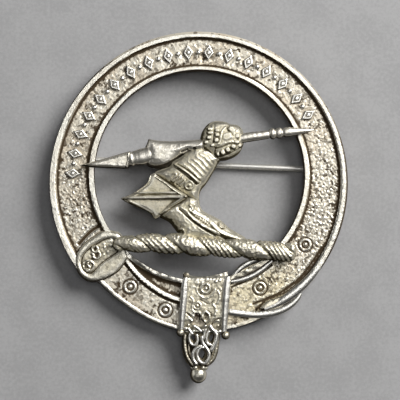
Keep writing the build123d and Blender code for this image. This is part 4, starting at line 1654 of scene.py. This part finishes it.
@dataclass(frozen=True)
class Stud:
    """A flat-topped stud: its pixel, length and width in pixels, way in degrees, rise in millimetres."""

    x: float
    y: float
    length: float
    width: float
    way: float
    rise: float

    def level(self, spots: Array, skin: Array) -> Array:
        """Raises the stud out of a rounded surface.

        Args:
            spots: Points in millimetres.
            skin: Level of the surface at each.

        Returns:
            The level of each with the stud.
        """
        least, most = 0.25 * self.rise, 2.8 * self.rise
        gap = spots - place([(self.x, self.y)])[0]
        turn = math.radians(self.way)
        along = (gap[:, 0] * math.cos(turn) + gap[:, 1] * math.sin(turn)) / (self.length * PIXEL / 2)
        across = (gap[:, 1] * math.cos(turn) - gap[:, 0] * math.sin(turn)) / (self.width * PIXEL / 2)
        share = Profile.FLAT.shape((np.abs(along) ** 3 + np.abs(across) ** 3) ** (1 / 3))
        top = skin[np.argmin((gap ** 2).sum(axis=1))] + self.rise
        return skin + share * np.clip(top - skin, least, most)


@dataclass(frozen=True)
class Skin:
    """The face of a cast part: a rounded rise from its edge, its roughness, its strokes and its studs."""

    edge: float
    width: float
    height: float
    roughs: Sequence[Rough]
    strokes: Sequence[Stroke]
    studs: Sequence[Stud] = ()
    start: float = 0.01  # share of the width at which the rise begins

    def level(self, spots: Array, away: Array) -> Array:
        """Gives the face's level.

        Args:
            spots: Points in millimetres.
            away: Their distance from the outline.

        Returns:
            Their levels.
        """
        share = np.clip(away / self.width, self.start, 1)
        rise = self.height * np.sqrt(np.clip(1 - (1 - share) ** 2, 0, 1))
        rough = sum(layer.lift(spots) for layer in self.roughs)
        skin = self.edge + rise + rough + relief(spots, self.strokes)
        return np.max([skin] + [stud.level(spots, skin) for stud in self.studs], axis=0)


@dataclass
class Arm:
    """The armoured arm: upper arm, elbow cop, forearm with its cuff, and the clenched gauntlet."""

    back: float = CREST_Z
    edge: float = CREST_Z + 0.15

    def upper_arm(self) -> Form:
        """Makes the upper arm with its two long ridges, ribbed groove and rivet.

        Returns:
            The form.
        """
        outline = ((182, 199), (190, 196), (197.8, 199.8), (199.4, 206.8), (204.2, 212.8), (220, 221.2),
                   (229.6, 229.6), (244.2, 238), (244.2, 238), (243, 243), (215, 243), (182, 241),
                   (179.6, 235.6), (174.2, 228.2), (169.4, 222.6), (160, 217.4), (156.4, 214), (160, 207),
                   (170, 202))
        strokes = [
            flat_line(((180.4, 208.0), (185.2, 211.6), (192.4, 218.8), (202, 226.0), (217.6, 234.6)), 3.6,
                      0.28, (0.75, 1)),
            groove(((179.0, 210.4), (184, 215), (191, 221.6), (201, 228.8), (214, 236.4)), 2.6, 0.2),
            flat_line(((190.4, 210.4), (196, 214), (202, 216.4), (208, 220.6), (214, 226.4), (220, 231.8),
                       (230.8, 236.4), (242.8, 238.2)), 7.2, 0.28, (0.7, 0.8)),
            groove(((189.4, 213.8), (197, 219.4), (206.4, 225.8)), 2.2, 0.16),
            Stroke(((189.6, 206.2), (191.8, 208.8), (192.4, 211)), 3.0, 0.34),
            Stroke(((194.4, 205.6), (198.4, 207.6), (199.4, 210.6)), 2.6, 0.16),
            ring_stroke(221.6, 225.2, 2.9, 1.8, 0.28), dot(221.8, 225.4, 2.6, 0.22),
            moat(221.6, 225.2, 4.7, 1.8, 0.18),
            groove(((181, 203.6), (174, 207.6), (160.6, 216.8)), 2.6, 0.3),
            groove(((220.4, 237.0), (224, 239.2), (228.6, 240.8)), 3.4, 0.35),
            Stroke(((177.8, 231.6), (181.4, 229.8), (184, 233.4), (182, 237.6)), 2.2, 0.24),
        ]
        strokes += [Stroke(((196 + 2.2 * i, 214.6 + 1.7 * i), (194.6 + 2.2 * i, 217.6 + 1.7 * i)), 1.3, 0.12)
                    for i in range(6)]
        skin = Skin(self.edge, 2.4, 1.85, (Rough(0.04, 1.1, 1.3), Rough(0.035, 0.4, 2.9)), strokes)
        return Plate(outline, self.back, skin.level, spacing=0.1).form()

    @staticmethod
    def cop_ridges() -> list[Stroke]:
        """Draws the cop's four ridges, its fine side lines, its stud and its tip.

        Returns:
            The strokes.
        """
        return [
            flat_line(((156.8, 178.6), (166, 184.4), (174.6, 191.2), (183.6, 196.8)), 3.2, 0.36, (0.7, 1.1)),
            flat_line(((134, 193.9), (150, 193.7), (166, 193.7), (176.4, 193.9)), 2.6, 0.22, (0.8, 0.9)),
            flat_line(((125, 198.9), (140, 198.5), (158, 198.3), (170, 198.0), (184.6, 198.0)), 4.4, 0.52,
                      (0.6, 1.0)),
            flat_line(((185, 198.2), (179, 202.2), (172, 206.6), (160.4, 214.4)), 4.2, 0.5, (1.2, 0.6)),
            Stroke(((150, 177.4), (147.4, 183.6), (137, 191.8)), 2.2, 0.16),
            Stroke(((130, 202.8), (142, 208.4), (151.6, 213.6)), 2.2, 0.16), dot(184.8, 197.8, 3.8, 1.1),
            dot(124.6, 198.8, 3.6, 0.2),
        ]

    def cop_level(self, spots: Array, away: Array) -> Array:
        """Gives the level of the elbow cop, highest at the stud where its ridges meet.

        Args:
            spots: Points in millimetres.
            away: Their distance from the outline.

        Returns:
            Their levels.
        """
        apex, length = place([(186, 198)])[0], 64 * PIXEL
        out = np.linalg.norm(spots - apex, axis=1) / length
        fall = np.clip(1 - out, 0, 1) ** 1.1
        rough = 0.02 * grain(spots, 1.4, 11.0) + 0.006 * grain(spots, 0.3, 13.0)
        web = 0.3 * ramp(away, 0, 0.45) + rough
        return self.back + 0.55 + fall + web + relief(spots, self.cop_ridges())

    def cop(self) -> Form:
        """Makes the spiked elbow cop: ridges that meet at a stud, with hollow webs between them.

        Returns:
            The form.
        """
        outline = ((150.6, 176.0), (150.6, 176.0), (148.8, 182), (145, 186.6), (136, 193.0), (129, 196.6),
                   (121.8, 199.3), (121.8, 199.3), (127, 202.6), (134, 206), (145, 210.4), (151.4, 214.4),
                   (154.8, 219.2), (158.8, 218.0), (161, 215.6), (168, 211.0), (176, 206.6), (184, 201.8),
                   (187.2, 198.4), (185, 195.4), (176, 189.8), (168, 184.4), (158.4, 177.4), (155.4, 174.4))
        return Plate(outline, self.back, self.cop_level, spacing=0.09).form()

    def forearm(self) -> Form:
        """Makes the forearm with its scroll band, cuff ridge and fine ribs.

        Returns:
            The form.
        """
        outline = ((154.4, 174.6), (160, 171), (168, 168), (172, 163), (180, 158), (187, 152), (195, 148),
                   (204, 149), (212, 152.6), (219.4, 159.6), (216.8, 165.0), (211.6, 174.6), (206.0, 183.8),
                   (200.6, 190.6), (198.6, 196), (197.8, 202), (190, 201), (184, 197), (174, 190),
                   (162, 181.6))
        strokes = [
            Stroke(((174.6, 166.0), (180.4, 169.8), (188.8, 175.8), (197.6, 183.4)), 3.2, 0.46,
                   ends=(0.7, 1.0)),
            groove(((177.4, 165.6), (184, 169.6), (192, 175.4), (199.6, 182.2)), 2.0, 0.2),
            groove(((172.6, 167.8), (182, 174.4), (196, 186.0)), 2.0, 0.14),
            ring_stroke(188.8, 186.6, 4.2, 2.0, 0.22), dot(189.0, 186.9, 2.8, 0.16),
            Stroke(((173, 175.2), (175.6, 174.8), (175.6, 177.6), (171.4, 182)), 2.0, 0.22),
            Stroke(((179.6, 175.6), (177.6, 179.6), (172.8, 183.0)), 2.0, 0.22),
            Stroke(((182.6, 177.8), (181.4, 181.6), (177.2, 185.0)), 2.0, 0.22),
            Stroke(((184.4, 181.6), (182.6, 184.4), (179.6, 187)), 2.0, 0.2),
            groove(((160, 180.6), (170, 186.8), (180, 193.4)), 2.4, 0.2),
        ]
        ribs = (
            ((183.6, 166.4), (190.4, 171.4), (198.0, 179.6)),
            ((187.2, 163.2), (194.6, 169.0), (202.2, 176.8)),
            ((191.0, 160.6), (198.4, 165.8), (205.6, 174.0)),
            ((195.0, 158.0), (201.6, 162.4), (208.4, 170.6)),
            ((199.0, 155.6), (205.0, 159.4), (211.0, 167.0)),
            ((203.4, 153.8), (208.6, 157.2), (213.8, 164.0)),
            ((208.6, 153.4), (212.6, 156.6), (217.2, 161.2)),
        )
        strokes += [Stroke(rib, 3.0, 0.125, ends=(0.7, 1.0)) for rib in ribs]
        strokes += [
            Stroke(((201.4, 149.4), (207, 150.2), (212.6, 149.6)), 2.0, 0.12),
            Stroke(((203.4, 152.6), (208, 153.0), (212.4, 152.2)), 2.0, 0.12),
        ]
        skin = Skin(self.edge, 2.2, 1.85, (Rough(0.04, 0.9, 17.0), Rough(0.02, 0.35, 19.0)), strokes)
        return Plate(outline, self.back, skin.level, spacing=0.09).form()

    def gauntlet(self) -> Form:
        """Makes the clenched hand: fingers with studded plates, a large knuckle, and the beaded thumb.

        Returns:
            The form.
        """
        outline = ((201.0, 137), (202.6, 132.4), (205.5, 128), (209, 124.6), (214, 122.6), (220, 122.3),
                   (226, 123.4), (230.4, 125.4), (236, 126.0), (240.2, 128.6), (242.4, 132.6), (243, 138),
                   (243, 143.6), (241.4, 148.4), (239, 153), (235, 156.6), (230, 159.2), (224, 161),
                   (219, 161.4), (216, 162.6), (210.6, 158), (205, 153.4), (201.6, 149.6), (200.2, 143))
        rows = ((209.0, 130.8, 5.6, 3.3, 0, 0.28), (209.4, 134.7, 7.2, 3.4, 0, 0.30),
                (208.2, 139.4, 5.8, 4.0, 0, 0.32), (205.4, 143.9, 4.4, 4.0, 0, 0.24),
                (216.3, 132.5, 5.0, 3.3, 0, 0.26), (216.3, 136.9, 5.2, 4.3, 0, 0.28),
                (215.4, 142.2, 5.2, 5.0, 0, 0.30), (211.4, 147.0, 4.4, 3.4, 0, 0.22),
                (231.0, 131.2, 9.6, 6.2, -38, 0.34), (226.2, 138.2, 11.4, 9.0, 12, 0.16),
                (236.3, 137.7, 5.0, 5.8, 0, 0.30), (235.8, 143.6, 6.2, 4.3, -15, 0.3),
                (239.0, 146.9, 4.4, 3.8, 0, 0.26), (221.9, 154.1, 6.6, 5.1, -55, 0.42),
                (226.8, 151.5, 6.6, 5.1, -52, 0.4), (232.4, 148.3, 6.4, 4.8, -32, 0.36),
                (217.2, 155.8, 4.8, 2.8, -65, 0.25))
        studs = [Stud(*row) for row in rows]
        strokes = [
            Stroke(((225.0, 128.6), (221.8, 132.0), (220.0, 137.4), (219.4, 141.6), (218.2, 145.2),
                    (214.4, 148.2)), 2.2, 0.16),
            groove(((212.8, 126), (213.2, 132), (212.6, 140), (212.2, 144.4)), 2.4, 0.1),
            groove(((226.4, 126), (226.2, 131), (229.6, 135), (232.6, 138), (232.2, 142)), 2.2, 0.1),
            groove(((215.4, 150.4), (221, 148.8), (227.6, 145.8), (233.4, 145.2)), 2.6, 0.22),
            groove(((214.6, 150.6), (213.8, 155), (216.4, 159.6)), 2.6, 0.22),
            groove(((219.6, 158.2), (227, 156.0), (234, 152.6), (239.4, 149.6)), 2.4, 0.12),
        ]
        roughs = (Rough(0.04, 0.7, 23.0), Rough(0.02, 0.3, 29.0))
        skin = Skin(self.edge, 2.7, 2.1, roughs, strokes, studs)
        return Plate(outline, self.back, skin.level, spacing=0.08).form()

    def make(self, bench: Bench) -> None:
        """Makes and dresses the four parts of the arm.

        Args:
            bench: Where they are dressed.
        """
        slot, sharp = "crest_silver", 60
        bench.dress(self.upper_arm().build("upper_arm", sharp), Finish.CREST, ["armoured_arm"])
        bench.dress(self.cop().build("elbow_cop", sharp), Finish.CREST)
        bench.dress(self.forearm().build("forearm", sharp), Finish.CREST)
        bench.dress(self.gauntlet().build("gauntlet", sharp), Finish.CREST)


@dataclass
class Spear:
    """The broken spear: flat head, splintered shaft, and the rear shaft with its knobs and head."""

    level: float = CREST_Z + 0.85

    def head(self) -> Form:
        """Makes the flat leaf-shaped head with its ferrule.

        Returns:
            The form.
        """
        outline = ((82.4, 166.4), (82.4, 166.4), (104, 160.6), (128.4, 153.4), (130.6, 155.4), (130.0, 161.6),
                   (128.2, 168.8), (124.6, 169.4), (106, 168.8), (92, 168.0))
        strokes = [
            Stroke(((129.6, 154.6), (129.2, 161.4), (127.2, 168.4)), 2.6, 0.34),
            Stroke(((84, 166.4), (104, 161.8), (128, 155.0)), 1.9, 0.14),
        ]
        skin = Skin(self.level - 0.1, 0.45, 0.55, (Rough(0.02, 0.5, 3.7),), strokes, start=0.02)
        return Plate(outline, self.level - 0.5, skin.level, spacing=0.09).form()

    def broken_shaft(self) -> Form:
        """Makes the flared, splintered shaft between the neck and the hand, with a sunk strip along its lower
        edge that is painted dark as the shadow under it.

        Returns:
            The form.
        """
        outline = ((149.0, 140.2), (149.0, 140.2), (156, 141.8), (170, 142.6), (186, 141.8), (202, 141.2),
                   (205, 146), (202, 152.0), (194, 154.0), (190.0, 153.6), (187.4, 153.0), (181.5, 157),
                   (176.5, 162), (172.6, 167.2), (163, 169.6), (152.4, 168.2), (147.4, 165.4), (146.4, 156),
                   (145.8, 148.8), (147.4, 145))
        strokes = [
            # The sunk strip along the lower edge lies below the finish's foot heights, so it is painted dark:
            # a painted shadow under the shaft.
            flat_line(((147, 171.0), (156, 170.8), (166, 168.4), (174, 164.0), (182, 158.6)), 7.4, -0.95),
            dot(194.0, 150.4, 3.9, -0.95, Profile.FLAT), groove(((181, 153.4), (187, 150.6)), 2.0, 0.4),
        ]
        roughs = (Rough(0.025, 0.6, 41.0, squeeze=0.4), Rough(0.01, 0.3, 43.0))
        skin = Skin(self.level - 0.15, 1.7, 1.15, roughs, strokes, start=0.02)
        return Plate(outline, CREST_Z, skin.level, spacing=0.1).form()

    def neck(self) -> Form:
        """Makes the ringed neck between the head and the broken shaft.

        Returns:
            The form.
        """
        route = ((128.6, 160.8, 13.0), (131.6, 160.2, 15.0), (133.4, 159.8, 13.8), (138, 159.0, 15.4),
                 (142, 158.2, 16.6), (145, 157.4, 15.6), (149, 156.4, 17.0), (156, 154.4, 15.0))
        return bar(route, self.level, 0.66)

    def rear(self) -> Form:
        """Makes the rear shaft with its knobs and its small head.

        Returns:
            The form.
        """
        route = ((238, 140.2, 9.0), (243, 139.2, 9.4), (250, 138.0, 9.4), (258, 136.9, 9.0),
                 (266.6, 135.7, 8.4), (268.4, 135.3, 7.2), (270.4, 135.0, 10.4), (272.8, 134.7, 11.0),
                 (274.6, 134.5, 8.0), (276.6, 134.3, 10.4), (279.4, 134.0, 10.8), (281.6, 133.8, 7.4),
                 (284.4, 133.4, 9.8), (288, 133.0, 9.6), (300, 132.0, 6.4), (313.0, 130.8, 1.6))
        return bar(route, self.level, 0.82)

    def make(self, bench: Bench) -> None:
        """Makes and dresses the spear's three parts.

        Args:
            bench: Where they are dressed.
        """
        head = self.head() + self.neck()
        bench.dress(head.build("spear_head"), Finish.SPEAR, ["broken_spear"])
        bench.dress(self.broken_shaft().build("broken_shaft", 60), Finish.SPEAR)
        bench.dress(self.rear().build("spear_rear"), Finish.SPEAR)


@dataclass
class Studio:
    """The pale floor, the soft lights and the camera."""

    lens: float = 120.0          # focal length in mm that the distance is worked out from
    sensor: float = 36.0
    tilt: float = 3.5
    lean: float = 215.0
    photo_pixels: float = 400.0
    frame_pixels: float = 399.0  # pixels of the photo that the picture takes in
    look_at: tuple[float, float] = (200.0, 200.4)
    floor_half: float = 0.6

    def floor(self) -> None:
        """Lays a pale floor under the brooch."""
        half = self.floor_half
        mesh = bpy.data.meshes.new("floor")
        sheet = [(-half, -half, 0), (half, -half, 0), (half, half, 0), (-half, half, 0)]
        mesh.from_pydata(sheet, [], [(0, 1, 2, 3)])
        piece = bpy.data.objects.new("floor", mesh)
        bpy.context.scene.collection.objects.link(piece)
        shader = Shader("pale_floor")
        mottle = shader.cloud(6.0) * 0.4 + shader.cloud(0.55, 3.0, 0.7) * 0.6
        tone = shader.mix(mottle.between(0.38, 0.62), (0.435, 0.435, 0.442), (0.505, 0.505, 0.512))
        for socket, value in (("Base Color", tone), ("Roughness", 0.85), ("Specular IOR Level", 0.2)):
            shader.plug(shader.surface.inputs[socket], value)
        mesh.materials.append(shader.material)

    @staticmethod
    def light(name: str, clock_angle: float, height: float, distance: float, size: float, power: float,
              colour: Colour = (1.0, 1.0, 1.0)) -> None:
        """Hangs a round soft light that looks at the brooch.

        Args:
            name: Its name.
            clock_angle: Its direction in the picture, in degrees from the top.
            height: Its angle above the floor in degrees.
            distance: Its distance in metres.
            size: Its width in metres.
            power: Its power in watts.
            colour: Its colour.
        """
        turn, rise = math.radians(clock_angle), math.radians(height)
        way = Vector((math.sin(turn) * math.cos(rise), math.cos(turn) * math.cos(rise), math.sin(rise)))
        lamp = bpy.data.lights.new(name, "AREA")
        lamp.shape = "DISK"
        lamp.size, lamp.energy, lamp.color = size, power, colour
        holder = bpy.data.objects.new(name, lamp)
        holder.location = way * distance
        holder.rotation_mode = "QUATERNION"
        holder.rotation_quaternion = (-way).to_track_quat("-Z", "Y")
        bpy.context.scene.collection.objects.link(holder)

    def lights(self) -> None:
        """Sets up the key, a low window at the left, the ceiling and a dim surrounding."""
        self.light("key", 50.0, 41.0, 0.6, 0.40, 3.9, (1.0, 0.99, 0.97))
        self.light("left window", 292.0, 16.0, 0.7, 0.30, 0.35, (0.99, 0.99, 1.0))
        self.light("ceiling", 35.0, 85.0, 0.6, 0.26, 0.42)
        world = bpy.data.worlds.new("studio")
        world.use_nodes = True
        background = world.node_tree.nodes["Background"]
        background.inputs["Color"].default_value = (0.32, 0.32, 0.325, 1)
        background.inputs["Strength"].default_value = 0.05
        bpy.context.scene.world = world
        bpy.context.scene.view_settings.view_transform = "Standard"

    def camera(self) -> None:
        """Stands the camera over the brooch at the photo's angle, framed as the photo."""
        distance = self.photo_pixels * PIXEL * MM * self.lens / self.sensor
        middle = place([self.look_at])[0]
        aim = (CENTRE + Vector((middle[0], middle[1], FIELD_Z))) * MM
        tilt, lean = math.radians(self.tilt), math.radians(self.lean)
        back = Vector((math.sin(tilt) * math.sin(lean), math.sin(tilt) * math.cos(lean), math.cos(tilt)))
        right = Vector((0.0, 1.0, 0.0)).cross(back).normalized()
        turn = Matrix((right, back.cross(right), back)).transposed().to_4x4()
        turn.translation = aim + back * distance
        data = bpy.data.cameras.new("camera")
        data.lens = self.sensor * distance / (self.frame_pixels * PIXEL * MM)
        data.sensor_width = self.sensor
        data.clip_start, data.clip_end = 0.01, 10.0
        holder = bpy.data.objects.new("camera", data)
        holder.matrix_world = turn
        bpy.context.scene.collection.objects.link(holder)
        bpy.context.scene.camera = holder

    def make(self) -> None:
        """Makes the whole stage."""
        self.floor()
        self.lights()
        self.camera()


def main() -> None:
    """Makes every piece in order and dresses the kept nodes."""
    logging.basicConfig(level=logging.INFO, format="%(name)s %(message)s")
    bench = Bench()
    Studio().make()
    for part in (Belt(), Buckle(), Keeper(), BeltTip(), Wreath(), Arm(), Spear()):
        part.make(bench)
    for node in ("pin_hinge", "hinge_rivet", "pin_stem", "catch_hook"):
        bench.keep(node, Finish.WIRE)


if __name__ == "__main__":
    main()
